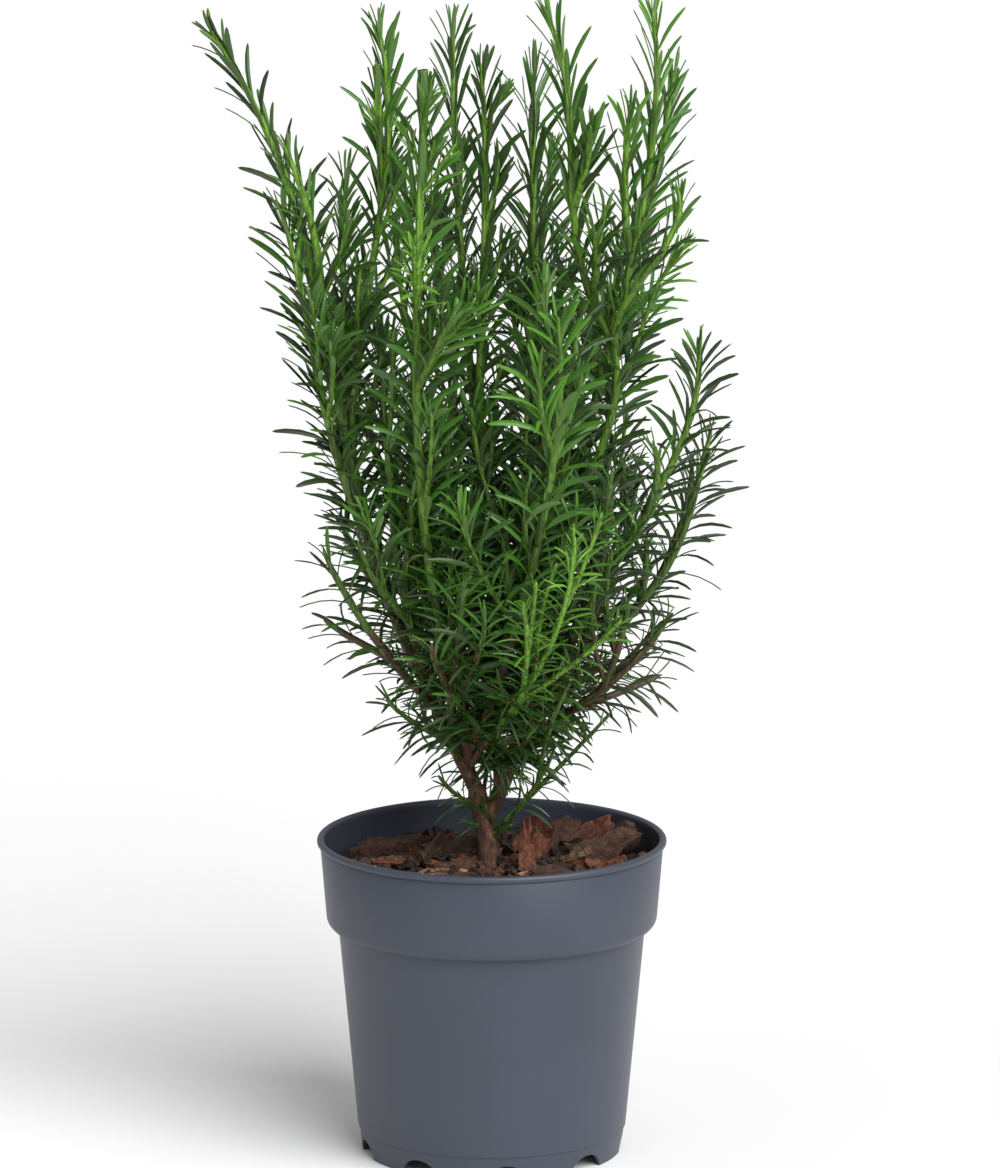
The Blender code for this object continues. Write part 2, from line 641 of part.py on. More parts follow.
class Limb:
    """A bowed, tapering line in metres: the trunk, a bough, a shoot or a twig."""

    def __init__(self, name, foot, tip, bows, foot_radius, tip_radius):
        self.name = name
        self.foot = foot
        self.tip = tip
        self.low_bow, self.high_bow = (Vector((*bow, 0)) * MM for bow in bows)
        self.foot_radius = foot_radius
        self.tip_radius = tip_radius
        self.radii = None
        self.lead = []
        self.sides = BOUGH_SIDES
        self.length = (tip - foot).length

    def point(self, share):
        left = 1 - share
        sway = (self.low_bow * left + self.high_bow * share) * (3 * share * left)
        return self.foot.lerp(self.tip, share) + sway

    def direction(self, share):
        left = 1 - share
        low_turn = self.low_bow * (left * (left - 2 * share))
        high_turn = self.high_bow * (share * (2 * left - share))
        return (self.tip - self.foot + (low_turn + high_turn) * 3).normalized()

    def radius(self, share):
        if self.radii:
            return float(np.interp(share, self.flare_shares(), self.radii)) * MM
        return self.foot_radius + (self.tip_radius - self.foot_radius) * share

    def flare_shares(self):
        """Where the trunk's radii stand: close together in the root flare, then even."""
        above = np.linspace(2 * ROOT_FLARE, 1, len(self.radii) - 2)
        return [0, ROOT_FLARE, *above]

    def shares(self):
        if self.radii:
            return self.flare_shares()
        return np.linspace(0, 1, max(2, round(self.length / SHOOT_SEGMENT)) + 1)

    def straight_run(self, share):
        """The place and heading at a share of this limb, on the straight runs of its mesh."""
        shares = self.shares()
        above = min(int(np.searchsorted(shares, share, side="right")), len(shares) - 1)
        low, high = (self.point(shares[k]) for k in (above - 1, above))
        part = (share - shares[above - 1]) / (shares[above] - shares[above - 1])
        return low.lerp(high, part), (high - low).normalized()

    def mesh(self, collection, grow=0.0):
        shares = self.shares()
        points = self.lead + [self.point(share) for share in shares[len(self.lead) > 0:]]
        radii = [self.foot_radius] * len(self.lead)
        radii += [self.radius(share) for share in shares[len(self.lead) > 0:]]
        return tube(self.name, points, [radius + grow for radius in radii], self.sides, collection)

    def grown(self, collection):
        """A cutter that leaves a little more than the usual gap all round this limb."""
        return self.mesh(collection, CUT_GROWTH)

    def stations(self):
        """Points along the limb, with their radii, to measure distances from."""
        count = max(2, math.ceil(self.length / STEM_STEP))
        return [(self.point(k / count), self.radius(k / count)) for k in range(count + 1)]


def leave(parent, share):
    """The foot of a limb that goes on from its parent's tip, and the short straight run after it."""
    heading = parent.direction(share)
    foot = parent.point(share) + heading * GAP
    return foot, [foot, foot + heading * SHOOT_STRAIGHT]


def plan_limbs():
    """The trunk and the boughs, each as a bowed line."""
    trunk = Limb("trunk", millimetres(TRUNK_FOOT), millimetres(TRUNK_TIP), (TRUNK_BOW, TRUNK_BOW),
                 TRUNK_RADII[0] * MM, TRUNK_RADII[-1] * MM)
    trunk.radii = TRUNK_RADII
    trunk.sides = TRUNK_SIDES
    trunk.lead = [trunk.foot, trunk.foot + Vector((0, 0, TRUNK_CUT))]
    limbs = {"trunk": trunk}
    for name, bough in BOUGHS.items():
        parent = limbs[bough.parent]
        foot = parent.point(bough.at)
        lead = []
        if bough.at == 1.0:
            foot, lead = leave(parent, bough.at)
        limb = Limb(name, foot, millimetres(bough.tip), (bough.bow, bough.bow),
                    bough.foot_radius * MM, bough.tip_radius * MM)
        limb.lead = lead
        limbs[name] = limb
    return limbs


def plan_shoots(name, limbs):
    """The named shoots of one mass. A shoot's tip is where its last needles end."""
    parent_name, at, shoots = MASSES[name]
    parent = limbs[parent_name]
    side_radius = SLIM_SHOOT_RADIUS if name in SLIM_MASSES else SIDE_SHOOT_RADIUS
    planned = []
    for k, shoot in enumerate(shoots):
        tip = millimetres(shoot.tip)
        if shoot.parent is not None:
            foot, lead, radius = planned[shoot.parent].point(shoot.at), [], side_radius
        elif at == 1.0:
            foot, lead = leave(parent, at)
            radius = parent.tip_radius
        else:
            foot, lead, radius = parent.point(at), [], side_radius
        pruned = name == PRUNED_MASS and k == 0
        if not pruned:
            tip = tip - (tip - foot).normalized() * TIP_TUFT
        bows = (shoot.low_bow, shoot.high_bow)
        limb = Limb(f"{name}_{k}", foot, tip, bows, radius, SHOOT_TIP_RADIUS)
        if pruned:
            limb.tip_radius = PRUNED_RADIUS
        limb.lead = lead
        limb.sides = SHOOT_SIDES
        planned.append(limb)
    return planned


class Space:
    """Every stem as points, to tell which mass a place belongs to and how near a limb is."""

    def __init__(self):
        self.points, self.radii, self.owners, self.shoots = [], [], [], []
        self.packed = None

    def add(self, limb, owner, shoot):
        for point, radius in limb.stations():
            self.points.append(tuple(point))
            self.radii.append(radius)
            self.owners.append(owner)
            self.shoots.append(shoot)
        self.packed = None

    def arrays(self):
        if self.packed is None:
            self.packed = tuple(
                np.array(values) for values in (self.points, self.radii, self.owners, self.shoots)
            )
        return self.packed

    def is_free(self, place, half_width, owner, shoot):
        """Whether a place is in its own shoot's space, with room for a needle round it."""
        points, radii, owners, shoots = self.arrays()
        distances = np.linalg.norm(points - np.array(place), axis=1)
        own = distances[(owners == owner) & (shoots == shoot)].min()
        sisters = distances[(owners == owner) & (shoots != shoot)]
        if sisters.size and sisters.min() < own:
            return False
        others = (owners != owner) & (owners >= 0)
        if others.any() and distances[others].min() - own < 2 * (half_width + 2 * GAP):
            return False
        wood = owners < 0
        return bool((distances[wood] - radii[wood]).min() > half_width + 2 * GAP)

    def nearest(self, place, skipped):
        """The distance from a place to the nearest stem that isn't the skipped one."""
        points, _, owners, shoots = self.arrays()
        distances = np.linalg.norm(points - np.array(place), axis=1)
        return distances[(owners != skipped[0]) | (shoots != skipped[1])].min()


def in_crown(place, margin):
    """Whether a place lies inside the crown's outline by a margin."""
    rows = np.array(CROWN) * MM
    left, right, front, back = (np.interp(place.z, rows[:, 0], rows[:, k]) for k in range(1, 5))
    across = right if place.x > 0 else left
    deep = back if place.y > 0 else front
    return (place.x / (across - margin)) ** 2 + (place.y / (deep - margin)) ** 2 < 1


def in_sky(place):
    """Whether a place lies in one of the patches of open sky."""
    return any(
        ((place.x / MM - x) / wide) ** 2 + ((place.z / MM - z) / high) ** 2 < 1
        for x, z, wide, high in SKY
    )


def side_twigs(planned, owner, space, chance):
    """Twigs that branch off the shoots, not outward, where the crown has room beside them."""
    twigs = []
    for k, shoot in enumerate(list(planned)):
        turn = chance.uniform(0, math.tau)
        share = TWIG_STRETCH[0]
        while share < TWIG_STRETCH[1]:
            turn += GOLDEN_TURN
            foot = shoot.point(share)
            heading = shoot.direction(share)
            out = Matrix.Rotation(turn, 3, heading) @ heading.orthogonal().normalized()
            fullness = float(np.interp(foot.z, TWIG_HEIGHTS, (1, 0)))
            length = chance.uniform(*TWIG_LENGTHS) * fullness
            share += TWIG_STEP / shoot.length
            if length < SHORTEST_TWIG or out.xy.dot(foot.xy.normalized()) > TWIG_OUTWARD:
                continue
            tip = foot + (heading * math.cos(TWIG_LEAN) + out * math.sin(TWIG_LEAN)) * length
            places = [foot.lerp(tip, part) for part in TWIG_MEASURED_AT]
            clear = all(
                space.nearest(place, (owner, k)) > TWIG_CLEARANCE and not in_sky(place)
                for place in places
            )
            if clear and in_crown(tip, TIP_TUFT):
                bow = Vector(out.xy) * (length * TWIG_BOW / MM)
                twig = Limb(f"{shoot.name}_twig", foot, tip, (bow, bow), SIDE_SHOOT_RADIUS,
                            SHOOT_TIP_RADIUS)
                twig.sides = SHOOT_SIDES
                space.add(twig, owner, len(planned) + len(twigs))
                twigs.append(twig)
    return twigs


def spray_outline(lean):
    """A flat spray: pointed needles side by side, on a strip that is sunk in the stem."""
    pitch = NEEDLE_WIDTH / math.sin(lean)
    corners = [(0, -NEEDLE_ROOT)]
    for k in range(NEEDLES_A_SPRAY):
        corners.append((k * pitch + NEEDLE_LENGTH * math.cos(lean), NEEDLE_LENGTH * math.sin(lean)))
        corners.append(((k + 1) * pitch, NEEDLE_NOTCH))
    corners[-1] = (NEEDLES_A_SPRAY * pitch, -NEEDLE_ROOT)
    return corners


def spray_mesh(name, lean, collection):
    """The spray's outline filled and given its thickness."""
    curve = bpy.data.curves.new(name, "CURVE")
    curve.dimensions = "2D"
    curve.fill_mode = "BOTH"
    curve.extrude = NEEDLE_THICKNESS / 2
    spline = curve.splines.new("POLY")
    corners = spray_outline(lean)
    spline.points.add(len(corners) - 1)
    for knot, corner in zip(spline.points, corners):
        knot.co = (*corner, 0.0, 1.0)
    spline.use_cyclic_u = True
    cut_out = from_curve(new_object(name, curve, collection), collection)
    mesh = cut_out.data
    bpy.data.objects.remove(cut_out)
    return mesh


def spray_frame(shoot, place, turn, size):
    """The place of a spray: its strip along the stem, its needles turned out round it."""
    start, heading = shoot.straight_run(place / shoot.length)
    out = Matrix.Rotation(turn, 3, heading) @ heading.orthogonal().normalized()
    side = heading.cross(out)
    frame = Matrix((heading, out, side)).transposed().to_4x4()
    frame.translation = start
    return frame @ Matrix.Scale(size, 4)


def spray_fits(frame, lean, size, owner, shoot, space):
    """Whether every needle of a spray stays in its shoot's own space."""
    pitch = NEEDLE_WIDTH / math.sin(lean)
    for k in range(NEEDLES_A_SPRAY):
        for share in NEEDLE_STATIONS:
            reach = NEEDLE_LENGTH * share
            along = (k + 0.5 * (1 - share)) * pitch + reach * math.cos(lean)
            place = frame @ Vector((along, reach * math.sin(lean), 0))
            half_width = NEEDLE_WIDTH * size * (1 - share) / 2 + NEEDLE_THICKNESS / 2
            if place.z - half_width < LOWEST_NEEDLE:
                return False
            if not space.is_free(place, half_width, owner, shoot):
                return False
    return True


def sprays_for(shoot, owner, number, pruned, space, chance):
    """Where the sprays of one shoot go: a spiral up the stem, then a tuft at its tip."""
    found = []
    turn = chance.uniform(0, math.tau)
    place = SPRAY_START
    while place < shoot.length:
        share = place / shoot.length
        kind = "spread" if shoot.point(share).z < SPREAD_BELOW else "raised"
        lean = SPRAY_LEANS[kind]
        strip = NEEDLES_A_SPRAY * NEEDLE_WIDTH / math.sin(lean)
        turn += GOLDEN_TURN
        choices = [(size, turn + aside) for size in SPRAY_SIZES for aside in SPRAY_TURNS]
        for size, side in choices:
            if place + strip * size > shoot.length:
                continue
            frame = spray_frame(shoot, place, side, size)
            if spray_fits(frame, lean, size, owner, number, space):
                found.append((kind, frame))
                break
        place += SPRAY_STEP * chance.uniform(*SPRAY_UNEVEN)
    lean = SPRAY_LEANS["forward"]
    size = TUFT_SIZE
    strip = NEEDLES_A_SPRAY * NEEDLE_WIDTH / math.sin(lean) * size
    for k in range(0 if pruned else TUFT_SPRAYS):
        start = shoot.length - strip - (k + 1) * TUFT_STAGGER
        frame = spray_frame(shoot, start, turn + (k + 1) * GOLDEN_TURN, size)
        if spray_fits(frame, lean, size, owner, number, space):
            found.append(("forward", frame))
    return found


def make_mass(name, shoots, sprays, limbs, blades, parts):
    """One mass of foliage: its stem, with the other shoots and the sprays fused on."""
    parent_name, at, _ = MASSES[name]
    stem = shoots[0].mesh(parts)
    stem.name = name
    stem.data.name = name
    if at < 1.0:
        combine(stem, [limbs[parent_name].grown(parts)], "DIFFERENCE")
    fused = [shoot.mesh(parts) for shoot in shoots[1:]]
    for kind, frame in sprays:
        spray = new_object("spray", blades[kind].copy(), parts)
        spray.matrix_world = frame
        fused.append(spray)
    bpy.context.view_layer.update()
    combine(stem, fused, "UNION")
    return stem


def near(limb, other):
    """Whether two limbs come within a millimetre of touching."""
    reach = limb.foot_radius + other.foot_radius + MM
    return any(
        (place - beside).length < reach
        for place, _ in limb.stations()
        for beside, _ in other.stations()
    )


def make_boughs(limbs, parts):
    """The trunk and boughs as tapering tubes, each cut clear of those made before it."""
    made = {"trunk": limbs["trunk"].mesh(parts)}
    earlier = [limbs["trunk"]]
    for name in BOUGHS:
        limb = limbs[name]
        bough = limb.mesh(parts)
        touched = [other for other in earlier if near(limb, other)]
        if limb.lead:
            touched = []
        combine(bough, [other.grown(parts) for other in touched], "DIFFERENCE")
        made[name] = bough
        earlier.append(limb)
    return made


def main():
    for old in list(bpy.data.objects):
        bpy.data.objects.remove(old)
    parts = bpy.data.collections.new("potted_hybrid_yew")
    bpy.context.scene.collection.children.link(parts)
    bpy.context.view_layer.update()

    limbs = plan_limbs()
    masses = {name: plan_shoots(name, limbs) for name in MASSES}
    space = Space()
    for k, limb in enumerate(limbs.values()):
        space.add(limb, -1 - k, 0)
    for owner, planned in enumerate(masses.values()):
        for number, shoot in enumerate(planned):
            space.add(shoot, owner, number)
    for owner, planned in enumerate(masses.values()):
        planned.extend(side_twigs(planned, owner, space, random.Random(SEED + owner)))

    colours = {
        "pot": material("slate grey polypropylene", (0.096, 0.111, 0.138), 0.45),
        "soil": material("peat soil", (0.012, 0.008, 0.006), 0.95),
        "bark_mulch": material("pine bark mulch", (0.105, 0.040, 0.020), 0.85),
        "wood": material("yew bark", (0.160, 0.075, 0.045), 0.80),
        "foliage": material("yew needles", (0.040, 0.120, 0.025), 0.45),
    }
    make_pot(parts).data.materials.append(colours["pot"])
    make_soil(parts).data.materials.append(colours["soil"])
    make_mulch(limbs["trunk"], parts).data.materials.append(colours["bark_mulch"])
    for bough in make_boughs(limbs, parts).values():
        bough.data.materials.append(colours["wood"])

    blades = {kind: spray_mesh(kind, lean, parts) for kind, lean in SPRAY_LEANS.items()}
    for owner, (name, planned) in enumerate(masses.items()):
        chance = random.Random(SEED * 100 + owner)
        sprays = []
        for number, shoot in enumerate(planned):
            pruned = name == PRUNED_MASS and number == 0
            sprays.extend(sprays_for(shoot, owner, number, pruned, space, chance))
        mass = make_mass(name, planned, sprays, limbs, blades, parts)
        mass.data.materials.clear()
        mass.data.materials.append(colours["foliage"])

    bpy.data.objects.remove(three_sided_section())
    for piece in parts.objects:
        piece.data.shade_smooth()
        piece.data.set_sharp_from_angle(angle=SHARP_ANGLE)


main()
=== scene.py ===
"""A young hybrid yew in its nursery pot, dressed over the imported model.

The pot, the bark mulch, the trunk and boughs, the green stems and the needles are each made by
an operator of their own. Lengths in the tables are millimetres, and everything built is metres.
"""
import json
import math
import random
from collections import namedtuple
from functools import lru_cache

import bmesh
import bpy
import numpy as np
from bpy.props import FloatProperty, FloatVectorProperty, IntProperty, PointerProperty
from bpy.types import Operator, Panel, PropertyGroup
from mathutils import Matrix, Vector, noise

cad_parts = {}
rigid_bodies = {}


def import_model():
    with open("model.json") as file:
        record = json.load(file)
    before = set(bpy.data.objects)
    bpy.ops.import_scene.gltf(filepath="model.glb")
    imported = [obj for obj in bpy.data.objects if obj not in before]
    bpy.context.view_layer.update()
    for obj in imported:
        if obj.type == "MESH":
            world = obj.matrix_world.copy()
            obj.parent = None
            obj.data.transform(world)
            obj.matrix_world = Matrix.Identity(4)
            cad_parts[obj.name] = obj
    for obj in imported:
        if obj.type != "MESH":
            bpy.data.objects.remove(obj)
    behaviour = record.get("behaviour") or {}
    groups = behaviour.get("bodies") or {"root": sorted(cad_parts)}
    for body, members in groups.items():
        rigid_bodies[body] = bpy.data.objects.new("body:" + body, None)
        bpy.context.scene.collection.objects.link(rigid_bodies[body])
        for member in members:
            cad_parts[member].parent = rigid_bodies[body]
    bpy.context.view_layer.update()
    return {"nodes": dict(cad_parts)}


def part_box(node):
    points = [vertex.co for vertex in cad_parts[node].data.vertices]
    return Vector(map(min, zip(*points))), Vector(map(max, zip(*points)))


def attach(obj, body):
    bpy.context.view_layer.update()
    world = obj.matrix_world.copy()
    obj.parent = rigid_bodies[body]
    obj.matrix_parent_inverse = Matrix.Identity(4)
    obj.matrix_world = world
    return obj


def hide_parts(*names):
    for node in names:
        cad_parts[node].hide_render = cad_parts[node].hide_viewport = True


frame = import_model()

bl_info = {
    "name": "Potted Hybrid Yew",
    "version": (1, 0, 0),
    "blender": (4, 5, 0),
    "location": "3D View > Sidebar > Yew",
    "description": "Dresses the packed model of a young hybrid yew in its nursery pot",
    "category": "Add Mesh",
}

MM = 0.001
GAP = 0.3 * MM

# Camera: where the photograph was taken from, and how tightly it frames the plant
CAMERA_PLACE = (0.00446, -3.502, 1.0083)
CAMERA_PITCH = math.radians(90 - 11.22)
CAMERA_LENS = 204.1
CAMERA_SENSOR = 36.0

# Pot
POT_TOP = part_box("pot")[1].z
LIP_RADIUS = 95 * MM
LIP_DEPTH = 4 * MM
WALL = 1.8 * MM
COLLAR_TOP_RADIUS = 93 * MM
COLLAR_FOOT_RADIUS = 90 * MM
COLLAR_CORNER = 6 * MM
COLLAR_FOOT = 125 * MM
BODY_TOP_RADIUS = 83.4 * MM
BODY_FOOT_RADIUS = 73.2 * MM
FOOT_HEIGHT = 13.8 * MM
FOOT_STEP = 0.8 * MM
FOOT_RADIUS = 71 * MM
FOOT_ROUND = 0.8 * MM
FLOOR_UNDER = 10 * MM
FLOOR_TOP = 12 * MM
PAD_RADIUS = 14 * MM
ARCHES = 9
ARCH_WIDTH = 22 * MM
ARCH_HEIGHT = 8.5 * MM
FIRST_ARCH = math.radians(-123.5)
DRAIN_HOLES = 6
DRAIN_RADIUS = 4.5 * MM
DRAIN_CIRCLE = 44 * MM

# Bark mulch
MULCH_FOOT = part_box("bark_mulch")[0].z
MULCH_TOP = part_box("bark_mulch")[1].z
MULCH_EDGE = 152.5 * MM
MULCH_CROWN = 157 * MM

# Limbs, in millimetres: a tip, then how far the line bows out to x and y.
# A shoot has two bows, one for its lower and one for its upper part.
Bough = namedtuple("Bough", "parent at tip bow foot_radius tip_radius")
Shoot = namedtuple("Shoot", "parent at tip low_bow high_bow")

TRUNK_FOOT = (0, 2, 150.3)
TRUNK_TIP = (-8, 2, 198)
TRUNK_BOW = (2, 0)
TRUNK_RADII = (8.2, 6.6, 6.0, 5.7, 5.4, 5.0)
ROOT_FLARE = 0.12

BOUGHS = {
    "bough_left": Bough("trunk", 1.0, (-36, -1, 260), (0, 0), 4.2, 3.0),
    "bough_right": Bough("trunk", 0.62, (28, 9, 264), (2, 2), 4.6, 3.3),
    "bough_front": Bough("bough_left", 0.16, (-17, -14, 254), (1, 0), 3.0, 2.8),
    "bough_centre": Bough("bough_right", 0.22, (0, 10, 246), (0, 2), 3.0, 2.7),
    "bough_centre_back": Bough("bough_right", 0.60, (22, 18, 263), (0, 1), 2.7, 2.5),
    "bough_back_left": Bough("bough_centre", 0.45, (-20, 32, 265), (0, 2), 2.6, 2.4),
    "bough_back": Bough("bough_centre", 0.80, (7, 34, 269), (0, 1), 2.5, 2.3),
    "bough_back_right": Bough("bough_right", 0.74, (38, 28, 270), (0, 1), 2.7, 2.5),
    "bough_front_right": Bough("bough_front", 0.24, (1, -18, 256), (1, 0), 2.5, 2.3),
    "bough_front_low": Bough("bough_front", 0.08, (-3, -14, 229), (0, 0), 2.1, 1.8),
    "bough_front_left": Bough("bough_left", 0.84, (-37, -17, 273), (0, -1), 2.3, 2.1),
    "bough_right_low": Bough("bough_right", 0.55, (36, -3, 240), (0, 0), 2.2, 1.9),
    "bough_right_outer": Bough("bough_right", 0.78, (44, 8, 272), (0, 0), 2.3, 2.1),
    "bough_right_mid": Bough("bough_right", 0.72, (38, -8, 268), (0, 0), 2.2, 2.0),
    "bough_left_low": Bough("bough_left", 0.70, (-44, -10, 262), (0, 0), 2.1, 2.0),
    "bough_left_sprig": Bough("bough_left", 0.36, (-28, -12, 232), (0, 0), 2.0, 1.7),
    "bough_left_back": Bough("bough_left", 0.55, (-36, 14, 252), (0, 0), 2.2, 2.0),
    "bough_inner_front": Bough("bough_front", 0.50, (-22, -22, 246), (0, 0), 2.0, 1.8),
    "bough_inner_right": Bough("bough_centre", 0.62, (14, -4, 252), (0, 0), 2.2, 2.0),
    "bough_right_back": Bough("bough_right", 0.45, (34, 24, 248), (0, 0), 2.2, 2.0),
    "bough_low_back_left": Bough("bough_centre", 0.25, (-22, 22, 226), (0, 0), 2.0, 1.8),
}

# Each mass: the limb its stem grows on, how far up that limb, and its shoots. The first shoot is
# the stem, and the others leave an earlier shoot of the mass at a fraction of its length.
MASSES = {
    "foliage_left_top": ("bough_left", 1.0, [
        Shoot(None, 0, (-152, -15, 626), (-23, -2), (40, 13)),
        Shoot(0, 0.58, (-111, -45, 568), (7, 1), (6, 1)),
        Shoot(0, 0.37, (-82, 45, 534), (0, 8), (0, 8)),
        Shoot(0, 0.33, (-60, 12, 628), (-10, 0), (24, 0)),
        Shoot(0, 0.20, (-115, -20, 533), (-14, -3), (2, -3)),
    ]),
    "foliage_front_leader": ("bough_front", 1.0, [
        Shoot(None, 0, (-35, -50, 598), (-28, -24), (-9, 3)),
        Shoot(0, 0.50, (-15, -75, 482), (0, 0), (0, 0)),
        Shoot(0, 0.16, (-38, -10, 398), (-2, 2), (-2, 2)),
    ]),
    "foliage_centre": ("bough_centre", 1.0, [
        Shoot(None, 0, (-6, 5, 606), (-18, -3), (8, 2)),
        Shoot(0, 0.42, (-22, 60, 622), (-4, 5), (-4, 5)),
        Shoot(0, 0.12, (-30, 4, 420), (-6, 0), (-4, 0)),
    ]),
    "foliage_centre_back": ("bough_centre_back", 1.0, [
        Shoot(None, 0, (23, 50, 600), (11, 8), (-4, 0)),
        Shoot(0, 0.14, (44, 52, 430), (5, 5), (5, 5)),
    ]),
    "foliage_right_top": ("bough_right", 1.0, [
        Shoot(None, 0, (66, -10, 467), (-26, 6), (31, -1)),
        Shoot(0, 0.97, (27, -30, 636), (-26, -3), (13, -3)),
        Shoot(0, 0.95, (102, -35, 545), (-17, -7), (22, -7)),
        Shoot(1, 0.42, (54, -50, 578), (3, 0), (3, 0)),
        Shoot(1, 0.10, (61, -52, 536), (-3, 0), (-3, 0)),
        Shoot(0, 0.20, (40, -16, 398), (2, -3), (2, -3)),
    ]),
    "foliage_back_right": ("bough_back_right", 1.0, [
        Shoot(None, 0, (88, 25, 633), (-21, 35), (30, -10)),
        Shoot(0, 0.65, (101, 50, 597), (4, 0), (4, 0)),
        Shoot(0, 0.61, (74, 2, 583), (-4, 0), (-4, 0)),
        Shoot(0, 0.39, (84, 66, 490), (4, 5), (4, 5)),
        Shoot(0, 0.14, (72, 20, 404), (4, 0), (3, 0)),
    ]),
    "foliage_right_mid": ("bough_right_mid", 1.0, [
        Shoot(None, 0, (114, -40, 461), (-8, -8), (31, -4)),
        Shoot(0, 0.50, (88, -58, 408), (4, -4), (4, -4)),
        Shoot(0, 0.22, (66, -44, 386), (2, -4), (2, -4)),
    ]),
    "foliage_right_outer": ("bough_right_outer", 1.0, [
        Shoot(None, 0, (124, -5, 408), (39, -2), (12, -8)),
        Shoot(0, 0.33, (112, 34, 388), (7, 5), (7, 5)),
        Shoot(0, 0.24, (84, -12, 352), (2, -3), (2, -3)),
    ]),
    "foliage_right_low": ("bough_right_low", 1.0, [
        Shoot(None, 0, (103, -38, 312), (9, -7), (9, -7)),
        Shoot(0, 0.12, (102, 16, 264), (5, 4), (5, 4)),
        Shoot(0, 0.30, (76, -48, 322), (2, -3), (2, -3)),
    ]),
    "foliage_front_right": ("bough_front_right", 1.0, [
        Shoot(None, 0, (37, -80, 482), (10, -13), (17, 1)),
        Shoot(0, 0.18, (6, -38, 374), (-2, -3), (-2, -3)),
    ]),
    "foliage_front_low": ("bough_front_low", 1.0, [
        Shoot(None, 0, (48, -85, 364), (15, -4), (15, -4)),
        Shoot(0, 0.22, (17, -78, 327), (4, -3), (4, -3)),
    ]),
    "foliage_front_left": ("bough_front_left", 1.0, [
        Shoot(None, 0, (-60, -14, 432), (-10, -4), (-2, -3)),
        Shoot(0, 0.30, (-42, -36, 378), (2, -4), (2, -4)),
        Shoot(0, 0.16, (-76, -50, 352), (-4, -3), (-4, -3)),
    ]),
    "foliage_left_low": ("bough_left_low", 1.0, [
        Shoot(None, 0, (-95, -50, 350), (-4, -5), (-5, -3)),
        Shoot(0, 0.18, (-100, -14, 302), (-3, 4), (-3, 4)),
    ]),
    "foliage_left_sprig": ("bough_left_sprig", 1.0, [
        Shoot(None, 0, (-64, -40, 264), (-3, -3), (-3, -3)),
        Shoot(0, 0.25, (-46, -42, 238), (0, -3), (0, -3)),
    ]),
    "foliage_left_back": ("bough_left_back", 1.0, [
        Shoot(None, 0, (-84, 34, 416), (-6, 6), (-6, 4)),
        Shoot(0, 0.30, (-88, 14, 360), (-6, -2), (-6, -2)),
        Shoot(0, 0.16, (-66, 46, 352), (-4, 5), (-4, 5)),
    ]),
    "foliage_inner_front": ("bough_inner_front", 1.0, [
        Shoot(None, 0, (-14, -52, 336), (-3, -4), (2, -3)),
        Shoot(0, 0.20, (-36, -54, 300), (-2, -4), (-2, -4)),
    ]),
    "foliage_inner_right": ("bough_inner_right", 1.0, [
        Shoot(None, 0, (38, -30, 388), (3, -6), (5, -3)),
        Shoot(0, 0.18, (54, -40, 330), (5, -4), (5, -4)),
        Shoot(0, 0.30, (14, -26, 384), (-2, -3), (-2, -3)),
    ]),
    "foliage_right_back": ("bough_right_back", 1.0, [
        Shoot(None, 0, (84, 52, 372), (10, 8), (8, 4)),
        Shoot(0, 0.25, (60, 62, 338), (2, 6), (2, 6)),
        Shoot(0, 0.30, (96, 24, 330), (6, -2), (6, -2)),
    ]),
    "foliage_back_left": ("bough_back_left", 1.0, [
        Shoot(None, 0, (-50, 84, 532), (-36, 9), (12, 11)),
        Shoot(0, 0.27, (-96, 62, 470), (-8, 5), (-8, 5)),
        Shoot(0, 0.58, (-22, 94, 512), (4, 5), (4, 5)),
    ]),
    "foliage_back": ("bough_back", 1.0, [
        Shoot(None, 0, (34, 92, 548), (9, 30), (-5, 9)),
        Shoot(0, 0.38, (64, 88, 452), (5, 5), (5, 5)),
        Shoot(0, 0.25, (-24, 96, 402), (-5, 8), (-5, 8)),
    ]),
    "foliage_low_back_left": ("bough_low_back_left", 1.0, [
        Shoot(None, 0, (-66, 52, 318), (-5, 5), (-5, 5)),
        Shoot(0, 0.22, (-58, 22, 272), (-4, -2), (-4, -2)),
    ]),
    "foliage_back_low": ("trunk", 0.80, [
        Shoot(None, 0, (6, 70, 268), (0, 11), (0, 11)),
        Shoot(0, 0.40, (-34, 60, 272), (-4, 5), (-4, 5)),
        Shoot(0, 0.45, (44, 58, 270), (5, 5), (5, 5)),
    ]),
    "foliage_trunk_left": ("trunk", 0.80, [
        Shoot(None, 0, (-36, -22, 218), (-3, -3), (-3, -3)),
    ]),
    "foliage_trunk_right": ("trunk", 0.52, [
        Shoot(None, 0, (32, -24, 216), (3, -4), (3, -4)),
        Shoot(0, 0.40, (40, -20, 236), (3, -3), (3, -3)),
    ]),
}
PRUNED_MASS = "foliage_front_leader"
PRUNED_RADIUS = 2.7 * MM
SLIM_MASSES = ("foliage_left_sprig", "foliage_back_low", "foliage_trunk_left", "foliage_trunk_right")

# Shoots, as the solids grow them
SEED = 11
SHOOT_TIP_RADIUS = 1.0 * MM
CUT_RADIUS = 2.0 * MM
BARE_STEMS = (*SLIM_MASSES, "foliage_front_low")
NEEDLE_CUSHION = 0.6 * MM
CUSHION_END = 6
SIDE_SHOOT_RADIUS = 1.7 * MM
SLIM_SHOOT_RADIUS = 1.2 * MM
TIP_TUFT = 13 * MM
GOLDEN_TURN = math.radians(137.5)
LOWEST_NEEDLE = 178 * MM
STEM_STEP = 4 * MM

